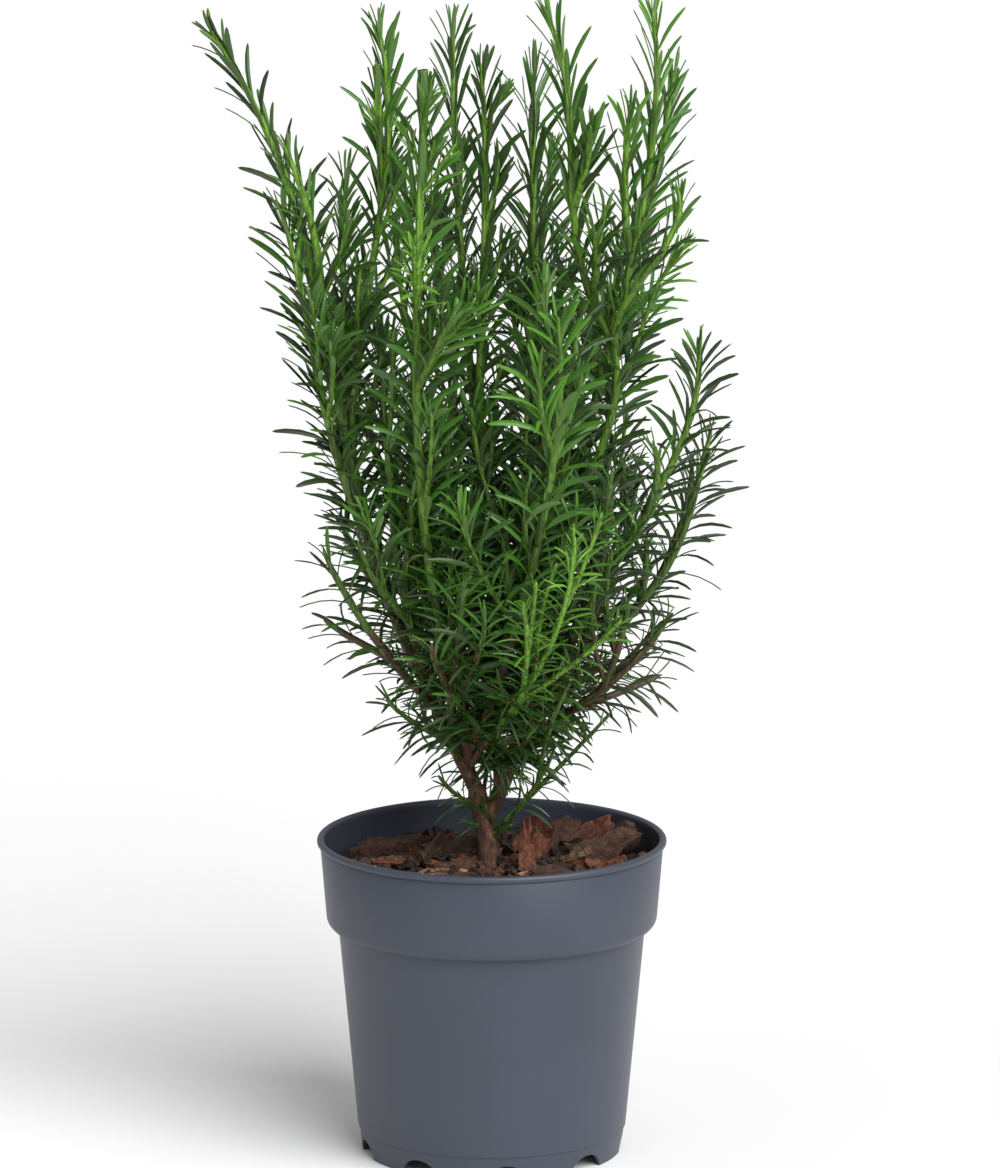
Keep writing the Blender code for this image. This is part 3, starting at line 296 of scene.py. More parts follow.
# Side twigs: long near the crown's foot, shorter with height, and none near its top. The finer
# ones and the sprigs on the boughs are the scene's own, and fill the room between the others.
TwigRule = namedtuple(
    "TwigRule", "step lengths heights shortest lean outward clearance stretch radius"
)
TWIGS = TwigRule(
    58 * MM, (62 * MM, 88 * MM), (300 * MM, 560 * MM), 36 * MM, math.radians(22), 0.35, 13 * MM,
    (0.10, 0.80), SIDE_SHOOT_RADIUS,
)
FINE_TWIGS = TwigRule(
    22 * MM, (46 * MM, 84 * MM), (330 * MM, 660 * MM), 24 * MM, math.radians(17), 0.35, 7 * MM,
    (0.06, 0.90), 1.4 * MM,
)
SPRIGS = TwigRule(
    5.5 * MM, (28 * MM, 54 * MM), (300 * MM, 900 * MM), 18 * MM, math.radians(50), 1.0, 4 * MM,
    (0.10, 1.0), 1.1 * MM,
)
LOWEST_SPRIG = 203 * MM
TWIG_BOW = 0.08
TWIG_MEASURED_AT = (0.6, 1.0)

# Spurs and suckers, in millimetres: the mass that holds each, the shoot it starts on (none for
# the trunk), the height where it starts, and its tip. Some were cut off at the nursery.
SPURS = [
    ("foliage_trunk_left", None, 186, (-17, -8, 196)),
    ("foliage_trunk_left", None, 178, (-14, -9, 184)),
    ("foliage_trunk_right", None, 184, (-5, -16, 200)),
    ("foliage_trunk_right", None, 172, (10, -9, 182)),
    ("foliage_trunk_right", None, 190, (9, -12, 206)),
    ("foliage_front_leader", 0, 568, (-31, -64, 588)),
    ("foliage_front_leader", 0, 466, (-40, -92, 510)),
    ("foliage_front_leader", 0, 545, (-46, -52, 566)),
    ("foliage_front_leader", 0, 530, (-24, -58, 552)),
    ("foliage_left_top", 3, 546, (-62, -4, 566)),
    ("foliage_centre", 0, 560, (6, 0, 580)),
    ("foliage_back_right", 3, 440, (104, 50, 490)),
]
CUT_SPURS = [
    ("foliage_left_top", 3, 518, (-61, 8, 594)),
    ("foliage_right_top", 0, 452, (65, -17, 467)),
]

# The crown's outline: height, then how far it reaches to the left, right, front and back
CROWN = [
    (200, 34, 46, 44, 40),
    (260, 70, 90, 72, 76),
    (300, 102, 113, 90, 90),
    (400, 112, 138, 102, 106),
    (500, 122, 118, 96, 106),
    (560, 130, 112, 84, 96),
    (630, 155, 108, 64, 74),
]

# Sky between the shoots, which no twig grows into: the middle of each patch as seen from the
# front, then half of its width and of its height
SKY = [
    (94, 426, 12, 38),
    (86, 338, 10, 18),
    (7, 404, 6, 34),
    (-90, 533, 7, 20),
    (-53, 254, 10, 16),
    (10, 577, 6, 13),
    (33, 552, 5, 17),
    (27, 520, 6, 14),
]

# More such patches, which only the finer twigs leave open
FINE_SKY = SKY + [
    (-109, 574, 8, 15),
    (-71, 397, 9, 26),
    (-54, 388, 7, 18),
    (-15, 580, 7, 18),
    (44, 558, 6, 16),
    (57, 410, 7, 20),
    (103, 369, 14, 30),
    (112, 405, 14, 24),
    (-104, 396, 12, 22),
    (-94, 529, 5, 12),
    (-49, 435, 6, 10),
    (-7, 533, 5, 22),
    (3, 391, 6, 20),
    (10, 550, 6, 12),
    (33, 550, 6, 14),
    (54, 548, 6, 14),
    (82, 422, 8, 12),
    (81, 397, 7, 12),
]


def hex_colour(code):
    """An sRGB hex value as linear red, green and blue."""
    parts = [int(code[k:k + 2], 16) / 255 for k in (1, 3, 5)]
    return tuple(p / 12.92 if p <= 0.04045 else ((p + 0.055) / 1.055) ** 2.4 for p in parts)


def per_metre(size):
    """The scale of a pattern whose features are a size across, in metres."""
    return 1.0 / size


def colour_setting(name, description, code):
    return FloatVectorProperty(
        name=name, description=description, subtype="COLOR", size=3, min=0, max=1,
        default=hex_colour(code),
    )


def length_setting(name, description, default):
    return FloatProperty(
        name=name, description=description, subtype="DISTANCE", unit="LENGTH", min=0, default=default
    )


# Settings that a user would change

class YewStageSettings(PropertyGroup):
    floor_colour: colour_setting("Floor", "Colour of the plain floor", "#F4F4F4")
    sky_strength: FloatProperty(
        name="Sky", description="Strength of the even light from all round", min=0, default=0.42
    )
    key_strength: FloatProperty(
        name="Key light", description="Strength of the broad light, front right", min=0, default=3.6
    )
    fill_power: FloatProperty(
        name="Fill light", description="Power of the soft light on the left", unit="POWER",
        min=0, default=6,
    )


class YewPotSettings(PropertyGroup):
    colour: colour_setting("Pot", "Colour of the moulded pot", "#3A3F4C")
    sides: IntProperty(name="Sides", description="Steps round the pot", min=36, default=180)
    roughness: FloatProperty(
        name="Roughness", description="How satin the plastic is", subtype="FACTOR", min=0, max=1,
        default=0.42,
    )


class YewMulchSettings(PropertyGroup):
    chips: IntProperty(name="Chips", description="How many chips lie on the bed", min=1, default=420)
    chip_length: length_setting("Chip length", "Longest a common chip grows", 24 * MM)
    dark: colour_setting("Dark bark", "Damp outer bark", "#231812")
    brown: colour_setting("Brown bark", "Dry outer bark", "#3E271B")
    orange: colour_setting("Orange bark", "Fresh inner bark", "#58311E")
    tan: colour_setting("Pale wood", "Slivers of wood", "#7E6149")


class YewBarkSettings(PropertyGroup):
    shadow: colour_setting("Cracks", "Bark down in the cracks", "#2A1D13")
    red: colour_setting("Bark", "Red-brown bark", "#55392A")
    fleck: colour_setting("Flakes", "Pale flakes on the bark", "#8C6E55")
    relief: length_setting("Relief", "How far the bark's plates stand out", 0.45 * MM)


class YewFoliageSettings(PropertyGroup):
    needle_length: length_setting("Needle length", "Length of a full-grown needle", 31 * MM)
    needle_width: length_setting("Needle width", "Width of a full-grown needle", 3.2 * MM)
    needle_pitch: length_setting("Needle pitch", "Stem between two needles", 3.3 * MM)
    # The shaded and dark greens are old needles, and also painted shade deep in the crown and low down.
    shaded: colour_setting("Shaded", "Oldest needles", "#1C3A0C")
    dark: colour_setting("Dark", "Old needles", "#2A4C14")
    middle: colour_setting("Middle", "Grown needles", "#3C681E")
    fresh: colour_setting("Fresh", "This year's needles", "#4E8024")
    new: colour_setting("New", "Needles still growing", "#699A30")
    # The dull green is painted shade on outward needles at the crown's lower sides.
    dull: colour_setting("Dull", "Old needles at the crown's foot", "#2B3A1E")
    under: colour_setting("Underside", "Dull underside of the needles", "#5F8040")
    stem_green: colour_setting("Green stem", "Young stem", "#6F9C2E")
    stem_furrow: colour_setting("Furrows", "Between the ridges of a young stem", "#4C7420")
    stem_brown: colour_setting("Brown stem", "Stem turning woody", "#4A3822")


# Materials

def add_node(tree, kind, inputs=None, links=None, **settings):
    """A node with its settings, the values of its sockets and what is linked to them."""
    made = tree.nodes.new(kind)
    for name, value in settings.items():
        setattr(made, name, value)
    for socket, value in (inputs or {}).items():
        made.inputs[socket].default_value = value
    for socket, source in (links or {}).items():
        tree.links.new(source, made.inputs[socket])
    return made


def new_material(name, colour, roughness, ior=1.5):
    """A material with its Principled shader set; what varies over the surface is linked later."""
    made = bpy.data.materials.new(name)
    made.use_nodes = True
    shader = made.node_tree.nodes["Principled BSDF"]
    shader.inputs["Base Color"].default_value = (*colour, 1)
    shader.inputs["Roughness"].default_value = roughness
    shader.inputs["IOR"].default_value = ior
    made.diffuse_color = (*colour, 1)
    return made, made.node_tree, shader


def ramp_between(tree, source, stops):
    """A colour ramp with the stops' places and colours."""
    ramp = add_node(tree, "ShaderNodeValToRGB", links={"Fac": source})
    elements = ramp.color_ramp.elements
    while len(elements) < len(stops):
        elements.new(0.5)
    for element, (place, colour) in zip(elements, stops):
        element.position = place
        element.color = (*colour, 1)
    return ramp.outputs["Color"]


def shade(colour, factor):
    return tuple(min(1.0, part * factor) for part in colour)


def satin_polypropylene(settings):
    """Injection moulded polypropylene: an even slate grey with a soft sheen and a faint mould grain."""
    colour = tuple(settings.colour)
    made, tree, shader = new_material("satin_polypropylene", colour, settings.roughness, 1.49)
    place = add_node(tree, "ShaderNodeTexCoord").outputs["Object"]
    cloud = add_node(
        tree, "ShaderNodeTexNoise", {"Scale": per_metre(60 * MM), "Detail": 3.0}, {"Vector": place}
    )
    tint = ramp_between(
        tree, cloud.outputs["Fac"], [(0.3, shade(colour, 0.94)), (0.7, shade(colour, 1.07))]
    )
    tree.links.new(tint, shader.inputs["Base Color"])
    satin = add_node(
        tree, "ShaderNodeMapRange",
        {"To Min": settings.roughness - 0.05, "To Max": settings.roughness + 0.08},
        {"Value": cloud.outputs["Fac"]},
    )
    tree.links.new(satin.outputs["Result"], shader.inputs["Roughness"])
    # The mould's grain is about 0.1 mm; it is drawn at 0.7 mm so that it still shows.
    grain = add_node(
        tree, "ShaderNodeTexNoise", {"Scale": per_metre(0.7 * MM), "Detail": 2.0}, {"Vector": place}
    )
    bump = add_node(
        tree, "ShaderNodeBump", {"Strength": 0.12, "Distance": 0.1 * MM},
        {"Height": grain.outputs["Fac"]},
    )
    tree.links.new(bump.outputs["Normal"], shader.inputs["Normal"])
    return made


def damp_peat(name, colour):
    """Peat and bark crumbs: almost black, rough, with crumbs of 2 to 4 mm."""
    made, tree, shader = new_material(name, colour, 0.95)
    place = add_node(tree, "ShaderNodeTexCoord").outputs["Object"]
    crumbs = add_node(
        tree, "ShaderNodeTexNoise", {"Scale": per_metre(3 * MM), "Detail": 5.0}, {"Vector": place}
    )
    tint = ramp_between(
        tree, crumbs.outputs["Fac"], [(0.35, shade(colour, 0.4)), (0.7, shade(colour, 1.6))]
    )
    tree.links.new(tint, shader.inputs["Base Color"])
    bump = add_node(
        tree, "ShaderNodeBump", {"Strength": 0.8, "Distance": 1 * MM},
        {"Height": crumbs.outputs["Fac"]},
    )
    tree.links.new(bump.outputs["Normal"], shader.inputs["Normal"])
    return made


def pine_bark(name, colour, roughness=0.85):
    """Shredded pine bark: fibres and thin layers, darker where it is damp."""
    made, tree, shader = new_material(name, colour, roughness)
    place = add_node(tree, "ShaderNodeTexCoord").outputs["Object"]
    blotch = add_node(
        tree, "ShaderNodeTexNoise", {"Scale": per_metre(3 * MM), "Detail": 6.0, "Roughness": 0.7},
        {"Vector": place},
    )
    tint = ramp_between(
        tree, blotch.outputs["Fac"],
        [(0.36, shade(colour, 0.30)), (0.49, colour), (0.66, shade(colour, 2.1))],
    )
    tree.links.new(tint, shader.inputs["Base Color"])
    fibre = add_node(
        tree, "ShaderNodeTexNoise", {"Scale": per_metre(1.3 * MM), "Detail": 4.0}, {"Vector": place}
    )
    bump = add_node(
        tree, "ShaderNodeBump", {"Strength": 0.9, "Distance": 0.5 * MM},
        {"Height": fibre.outputs["Fac"]},
    )
    tree.links.new(bump.outputs["Normal"], shader.inputs["Normal"])
    return made


def yew_bark(settings):
    """Flaky yew bark: red-brown plates a few millimetres long, with pale edges and dark cracks."""
    made, tree, shader = new_material("yew_bark", tuple(settings.red), 0.82)
    place = add_node(tree, "ShaderNodeTexCoord").outputs["Object"]
    # Plates are about 2 mm wide and three times as long, up the limb.
    long_ways = add_node(
        tree, "ShaderNodeMapping", {"Scale": (1.0, 1.0, 0.34)}, {"Vector": place}
    )
    plates = add_node(
        tree, "ShaderNodeTexNoise", {"Scale": per_metre(2.2 * MM), "Detail": 6.0, "Roughness": 0.6},
        {"Vector": long_ways.outputs["Vector"]},
    )
    red = tuple(settings.red)
    tint = ramp_between(
        tree, plates.outputs["Fac"],
        [(0.34, tuple(settings.shadow)), (0.47, red), (0.58, shade(red, 1.35)),
         (0.68, tuple(settings.fleck))],
    )
    tree.links.new(tint, shader.inputs["Base Color"])
    bump = add_node(
        tree, "ShaderNodeBump", {"Strength": 0.9, "Distance": 0.5 * MM},
        {"Height": plates.outputs["Fac"]},
    )
    tree.links.new(bump.outputs["Normal"], shader.inputs["Normal"])
    return made


def waxy_needle(name, colour, roughness):
    """A yew needle's skin: one plain green with a waxy gloss that breaks up a little."""
    made, tree, shader = new_material(name, tuple(colour), roughness, 1.40)
    place = add_node(tree, "ShaderNodeTexCoord").outputs["Object"]
    wax = add_node(
        tree, "ShaderNodeTexNoise", {"Scale": per_metre(4 * MM), "Detail": 2.0}, {"Vector": place}
    )
    gloss = add_node(
        tree, "ShaderNodeMapRange", {"To Min": roughness - 0.08, "To Max": roughness + 0.10},
        {"Value": wax.outputs["Fac"]},
    )
    tree.links.new(gloss.outputs["Result"], shader.inputs["Roughness"])
    return made


def green_bark(name, colour, furrow):
    """A young stem's skin: green ridges with duller furrows, 1.5 mm apart, that run up the stem."""
    made, tree, shader = new_material(name, tuple(colour), 0.5)
    place = add_node(tree, "ShaderNodeTexCoord").outputs["Object"]
    up_stem = add_node(tree, "ShaderNodeMapping", {"Scale": (1.0, 1.0, 0.10)}, {"Vector": place})
    ridges = add_node(
        tree, "ShaderNodeTexNoise", {"Scale": per_metre(1.5 * MM), "Detail": 3.0},
        {"Vector": up_stem.outputs["Vector"]},
    )
    tint = ramp_between(
        tree, ridges.outputs["Fac"],
        [(0.40, tuple(furrow)), (0.52, tuple(colour)), (0.66, shade(colour, 1.15))],
    )
    tree.links.new(tint, shader.inputs["Base Color"])
    bump = add_node(
        tree, "ShaderNodeBump", {"Strength": 0.5, "Distance": 0.3 * MM},
        {"Height": ridges.outputs["Fac"]},
    )
    tree.links.new(bump.outputs["Normal"], shader.inputs["Normal"])
    return made


def plain_floor(settings):
    """A matt painted floor, near white, with the faintest unevenness."""
    colour = tuple(settings.floor_colour)
    made, tree, shader = new_material("plain_floor", colour, 0.9)
    place = add_node(tree, "ShaderNodeTexCoord").outputs["Object"]
    cloud = add_node(tree, "ShaderNodeTexNoise", {"Scale": per_metre(1.5)}, {"Vector": place})
    tint = ramp_between(
        tree, cloud.outputs["Fac"], [(0.3, shade(colour, 0.98)), (0.7, colour)]
    )
    tree.links.new(tint, shader.inputs["Base Color"])
    return made


# Meshes

def new_piece(name, mesh, materials, slot, *nodes):
    """A piece of the plant or pot: it rides on the root and stands for the nodes named."""
    piece = bpy.data.objects.new(name, mesh)
    bpy.context.scene.collection.objects.link(piece)
    for material in materials:
        mesh.materials.append(material)
    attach(piece, "root")
    if nodes:
        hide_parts(*nodes)
    return piece


def mesh_from(name, points, faces, tints=None, sharp=40):
    """A smooth-shaded mesh from arrays of points and faces; tints are material numbers."""
    mesh = bpy.data.meshes.new(name)
    mesh.from_pydata([tuple(place) for place in points], [], faces)
    if tints is not None:
        mesh.polygons.foreach_set("material_index", np.asarray(tints, dtype=np.int32))
    mesh.shade_smooth()
    mesh.set_sharp_from_angle(angle=math.radians(sharp))
    mesh.update()
    return mesh


def arc(middle, radius, first, last, steps):
    """Points along a round corner of a profile, from one angle to another, in degrees."""
    turns = np.radians(np.linspace(first, last, steps + 1))
    return [
        (middle[0] + radius * math.cos(turn), middle[1] + radius * math.sin(turn)) for turn in turns
    ]


def body_radius(height):
    """The outer radius of the pot's tapering body."""
    share = (height - FOOT_HEIGHT) / (COLLAR_FOOT - FOOT_HEIGHT)
    return BODY_FOOT_RADIUS + (BODY_TOP_RADIUS - BODY_FOOT_RADIUS) * share


def collar_radius(height):
    """The outer radius of the pot's collar."""
    low = COLLAR_FOOT + COLLAR_CORNER
    share = (height - low) / (POT_TOP - LIP_DEPTH - low)
    return COLLAR_FOOT_RADIUS + (COLLAR_TOP_RADIUS - COLLAR_FOOT_RADIUS) * share


def inner_radius(height):
    """The radius of the pot's inside, beside the collar."""
    return collar_radius(height) - WALL


def pot_profile():
    """The pot's half section: up the inside, over the lip, down the outside and under the foot."""
    bead = LIP_DEPTH / 2
    lip_foot = POT_TOP - LIP_DEPTH
    step_top = COLLAR_FOOT + COLLAR_CORNER - WALL
    inside = [(0, FLOOR_TOP)]
    inside += arc((body_radius(FLOOR_TOP) - WALL - 3 * MM, FLOOR_TOP + 3 * MM), 3 * MM, -90, 0, 5)
    inside.append((BODY_TOP_RADIUS - WALL, COLLAR_FOOT))
    inside += arc((COLLAR_FOOT_RADIUS - WALL - 3 * MM, step_top + 2 * MM), 3 * MM, -60, 0, 5)
    inside.append((COLLAR_TOP_RADIUS - WALL, lip_foot))
    lip = arc((LIP_RADIUS - bead, POT_TOP - bead), bead, 165, -80, 16)
    # A fine groove parts the bead of the lip from the collar under it.
    groove = [
        (COLLAR_TOP_RADIUS + 0.2 * MM, lip_foot - 0.1 * MM),
        (COLLAR_TOP_RADIUS - 0.2 * MM, lip_foot - 0.6 * MM),
        (COLLAR_TOP_RADIUS + 0.1 * MM, lip_foot - 1.2 * MM),
    ]
    corner = arc((COLLAR_FOOT_RADIUS - COLLAR_CORNER, COLLAR_FOOT + COLLAR_CORNER),
                 COLLAR_CORNER, 0, -90, 9)
    fillet = arc((BODY_TOP_RADIUS + 0.8 * MM, COLLAR_FOOT - 0.8 * MM), 0.8 * MM, 90, 180, 4)
    body = [
        (BODY_FOOT_RADIUS + 0.05 * MM, FOOT_HEIGHT + 0.5 * MM),
        (BODY_FOOT_RADIUS, FOOT_HEIGHT),
        (BODY_FOOT_RADIUS - FOOT_STEP, FOOT_HEIGHT - FOOT_STEP),
    ]
    foot = arc((FOOT_RADIUS - FOOT_ROUND, FOOT_ROUND), FOOT_ROUND, 0, -90, 4)
    underside = [
        (FOOT_RADIUS - WALL, 0),
        (FOOT_RADIUS - WALL, FLOOR_UNDER),
        (PAD_RADIUS + FOOT_ROUND, FLOOR_UNDER),
        (PAD_RADIUS, 0),
        (0, 0),
    ]
    return inside + lip + groove + corner + fillet + body + foot + underside


def turned(name, profile, sides):
    """A turned mesh: the profile is spun round the Z axis."""
    work = bmesh.new()
    knots = [work.verts.new((radius, 0, height)) for radius, height in profile]
    edges = [work.edges.new(pair) for pair in zip(knots, knots[1:])]
    bmesh.ops.spin(
        work, geom=knots + edges, cent=(0, 0, 0), axis=(0, 0, 1), angle=math.tau, steps=sides,
        use_duplicate=False,
    )
    bmesh.ops.remove_doubles(work, verts=work.verts, dist=0.01 * MM)
    bmesh.ops.recalc_face_normals(work, faces=work.faces)
    mesh = bpy.data.meshes.new(name)
    work.to_mesh(mesh)
    work.free()
    return mesh


def cylinder(name, radius, depth, sides, place):
    """A cylinder used as a cutter."""
    work = bmesh.new()
    bmesh.ops.create_cone(
        work, cap_ends=True, segments=sides, radius1=radius, radius2=radius, depth=depth
    )
    work.transform(place)
    mesh = bpy.data.meshes.new(name)
    work.to_mesh(mesh)
    work.free()
    return bpy.data.objects.new(name, mesh)


def cut(mesh, cutters):
    """The mesh with all the cutters taken out of it."""
    body = bpy.data.objects.new("cut_body", mesh)
    group = bpy.data.collections.new("cutters")
    bpy.context.scene.collection.objects.link(body)
    bpy.context.scene.collection.children.link(group)
    for cutter in cutters:
        group.objects.link(cutter)
    step = body.modifiers.new("Cut", "BOOLEAN")
    step.operation = "DIFFERENCE"
    step.operand_type = "COLLECTION"
    step.collection = group
    step.solver = "EXACT"
    bpy.context.view_layer.update()
    depsgraph = bpy.context.evaluated_depsgraph_get()
    made = bpy.data.meshes.new_from_object(body.evaluated_get(depsgraph))
    for cutter in cutters:
        bpy.data.objects.remove(cutter)
    bpy.data.collections.remove(group)
    bpy.data.objects.remove(body)
    return made


def pot_mesh(settings):
    """The pot with its arched foot and drain holes."""
    mesh = turned("pot_shell", pot_profile(), settings.sides)
    cutters = []
    for k in range(ARCHES):
        place = (
            Matrix.Rotation(FIRST_ARCH + k * math.tau / ARCHES, 4, "Z")
            @ Matrix.Translation((FOOT_RADIUS, 0, 0))
            @ Matrix.Diagonal((ARCH_WIDTH, ARCH_WIDTH / 2, ARCH_HEIGHT, 1))
            @ Matrix.Rotation(math.pi / 2, 4, "Y")
        )
        cutters.append(cylinder("arch", 1.0, 1.0, 48, place))
    for k in range(DRAIN_HOLES):
        turn = k * math.tau / DRAIN_HOLES
        place = (DRAIN_CIRCLE * math.cos(turn), DRAIN_CIRCLE * math.sin(turn), FLOOR_UNDER)
        cutters.append(
            cylinder("drain", DRAIN_RADIUS, FLOOR_UNDER, 32, Matrix.Translation(place))
        )
    made = cut(mesh, cutters)
    made.shade_smooth()
    made.set_sharp_from_angle(angle=math.radians(35))
    return made


# Bark mulch

def mulch_height(radius):
    """The level of the bark mulch at a distance from the pot's axis."""
    share = radius / inner_radius(MULCH_EDGE)
    return MULCH_CROWN + (MULCH_EDGE - MULCH_CROWN) * share


def bed_mesh():
    """The bed of crumbs under the chips."""
    edge = inner_radius(MULCH_FOOT) - GAP
    rings, sides = 40, 120
    points = [(0, 0, mulch_height(0))]
    for ring in range(1, rings + 1):
        for side in range(sides):
            radius = edge * ring / rings
            turn = math.tau * side / sides
            x, y = radius * math.cos(turn), radius * math.sin(turn)
            lift = noise.noise(Vector((x, y, 0)) * per_metre(7 * MM)) * 2.0 * MM
            lift += noise.noise(Vector((x, y, 9)) * per_metre(2.4 * MM)) * 0.9 * MM
            points.append((x, y, mulch_height(radius) - 1.5 * MM + lift))
    last = len(points) - sides
    points += [(x, y, MULCH_FOOT) for x, y, _ in points[last:]]
    points.append((0, 0, MULCH_FOOT))
    faces = [(0, 1 + side, 1 + (side + 1) % sides) for side in range(sides)]
    for ring in range(rings):
        start = 1 + ring * sides
        for side in range(sides):
            after = (side + 1) % sides
            faces.append((start + side, start + sides + side, start + sides + after, start + after))
    start = 1 + rings * sides
    faces += [(len(points) - 1, start + (side + 1) % sides, start + side) for side in range(sides)]
    return mesh_from("mulch_bed", points, faces)


def chip_shape(chance):
    """One chip of unit size: a ragged plate with fibres along it and broken ends."""
    work = bmesh.new()
    bmesh.ops.create_cube(work, size=1)
    bmesh.ops.subdivide_edges(work, edges=work.edges[:], cuts=4, use_grid_fill=True)
    shift = Vector((chance.uniform(0, 50), chance.uniform(0, 50), chance.uniform(0, 50)))
    twist = chance.uniform(-0.5, 0.5)
    taper = chance.uniform(0.0, 0.55)
    arch = chance.uniform(-0.5, 0.9)
    skew = chance.uniform(-0.35, 0.35)
    for knot in work.verts:
        x, y, z = knot.co
        ragged = noise.noise(Vector((x * 1.3, y * 2.4, 0)) + shift)
        fibres = noise.noise(Vector((x * 0.9, y * 9.0, z)) + shift * 2)
        broken = noise.noise(Vector((0.0, y * 6.0, z * 2.0)) + shift * 3)
        crumpled = noise.noise(Vector((x * 3.4, y * 3.0, z * 0.6)) + shift * 4)
        y *= 1 - taper * (x + 0.5) + 0.35 * ragged
        x += (0.22 * broken if abs(x) > 0.4 else 0.0) + skew * y
        z += 0.30 * fibres + 0.75 * crumpled + arch * (0.25 - x * x) + 0.45 * ragged + twist * x * y
        knot.co = (x, y, z)
    points = np.array([tuple(knot.co) for knot in work.verts])
    faces = [tuple(knot.index for knot in face.verts) for face in work.faces]
    work.free()
    return points, faces


# Chips that show in front: place of the middle and turns in degrees, then length, width,
# thickness and tint. The tints are numbered as the mulch's materials are.
KEY_CHIPS = [
    ((19, -17, 167), (-8, -66, 100), (34, 10, 4), 2),
    ((22, 22, 165), (20, -35, 60), (24, 20, 12), 2),
    ((34, 40, 164), (0, -20, 20), (26, 17, 10), 1),
    ((62, 22, 163), (0, -18, 10), (34, 22, 9), 1),
    ((57, 48, 165), (60, -30, 0), (20, 14, 4), 2),
    ((-22, 20, 164), (0, -12, -25), (34, 17, 4), 1),
    ((-32, 12, 162), (55, -30, 60), (22, 12, 4), 1),
    ((-16, -14, 158), (35, -4, 5), (26, 10, 4), 1),
    ((-57, 38, 160), (10, -4, 8), (32, 10, 5), 1),
    ((-12, -28, 158), (0, -2, -8), (38, 7, 3), 1),
    ((-30, -26, 157), (0, 3, 4), (30, 4, 2.5), 3),
    ((42, 4, 161), (0, -22, -42), (28, 5, 3), 3),
    ((33, -24, 158), (0, 4, 12), (30, 8, 4), 1),
    ((12, -27, 158), (50, 20, 80), (15, 9, 4), 1),
    ((60, -4, 159), (0, 6, 28), (26, 9, 4), 2),
    ((-70, 2, 158), (0, 5, 60), (24, 10, 4), 1),
]


def chip_frames(settings, chance):
    """Places, sizes and tints of every chip, the ones that show in front first."""
    found = []
    for place, turns, size, tint in KEY_CHIPS:
        found.append((Vector(place) * MM, [math.radians(turn) for turn in turns],
                      Vector(size) * MM, tint))
    edge = inner_radius(MULCH_EDGE) - 3 * MM
    longest = settings.chip_length
    for k in range(settings.chips):
        radius = edge * math.sqrt((k + 0.5) / settings.chips)
        turn = k * GOLDEN_TURN + chance.uniform(-0.2, 0.2)
        length = chance.uniform(0.30, 1.0) ** 1.3 * longest
        width = length * chance.uniform(0.28, 0.62)
        size = Vector((length, width, chance.uniform(1.8, 4.2) * MM))
        rise = chance.uniform(-1.0, 3.2) * MM
        place = Vector((radius * math.cos(turn), radius * math.sin(turn), mulch_height(radius) + rise))
        turns = (chance.gauss(0, 0.28), chance.gauss(0, 0.25), chance.uniform(0, math.tau))
        tint = chance.choices((0, 1, 2, 3), (42, 34, 17, 7))[0]
        found.append((place, turns, size, tint))
    return found


def chips_mesh(settings):
    """All the loose chips, as one mesh with a material for each tint."""
    chance = random.Random(SEED)
    shapes = [chip_shape(chance) for _ in range(14)]
    points, faces, tints = [], [], []
    wall = inner_radius(MULCH_EDGE) - 0.6 * MM
    for number, (place, (roll, tilt, yaw), size, tint) in enumerate(chip_frames(settings, chance)):
        turn = (
            Matrix.Rotation(yaw, 3, "Z") @ Matrix.Rotation(tilt, 3, "Y") @ Matrix.Rotation(roll, 3, "X")
        )
        shape, shape_faces = shapes[number % len(shapes)]
        placed = (shape * np.array(size)) @ np.array(turn).T + np.array(place)
        reach = np.hypot(placed[:, 0], placed[:, 1])
        pull = np.minimum(1.0, wall / np.maximum(reach, 1e-9))
        placed[:, :2] *= pull[:, None]
        placed[:, 2] = np.maximum(placed[:, 2], MULCH_FOOT + GAP)
        start = len(points)
        points.extend(placed.tolist())
        faces.extend(tuple(start + knot for knot in face) for face in shape_faces)
        tints.extend([tint] * len(shape_faces))
    return mesh_from("bark_chips", points, faces, tints, sharp=32)


# Limbs

class Limb:
    """A bowed, tapering line in metres: the trunk, a bough, a shoot or a twig."""

    def __init__(self, name, foot, tip, bows, foot_radius, tip_radius):
        self.name = name
        self.foot = foot
        self.tip = tip
        self.low_bow, self.high_bow = (Vector((*bow, 0)) * MM for bow in bows)
        self.foot_radius = foot_radius
        self.tip_radius = tip_radius
        self.radii = None
        self.cushion = 0.0
        self.pruned = False
        self.length = (tip - foot).length

    def point(self, share):
        left = 1 - share
        sway = (self.low_bow * left + self.high_bow * share) * (3 * share * left)
        return self.foot.lerp(self.tip, share) + sway

    def direction(self, share):
        left = 1 - share
        low_turn = self.low_bow * (left * (left - 2 * share))
        high_turn = self.high_bow * (share * (2 * left - share))
        return (self.tip - self.foot + (low_turn + high_turn) * 3).normalized()

    def radius(self, share):
        if self.radii:
            above = np.linspace(2 * ROOT_FLARE, 1, len(self.radii) - 2)
            return float(np.interp(share, [0, ROOT_FLARE, *above], self.radii)) * MM
        cushion = self.cushion * min(1.0, CUSHION_END * (1 - share))
        return self.foot_radius + (self.tip_radius - self.foot_radius) * share + cushion

    def stations(self):
        """Points along the limb, with their radii, to measure distances from."""
        count = max(2, math.ceil(self.length / STEM_STEP))
        return [(self.point(k / count), self.radius(k / count)) for k in range(count + 1)]


def millimetres(place):
    """A place given in millimetres, as a vector in metres."""
    return Vector(place) * MM


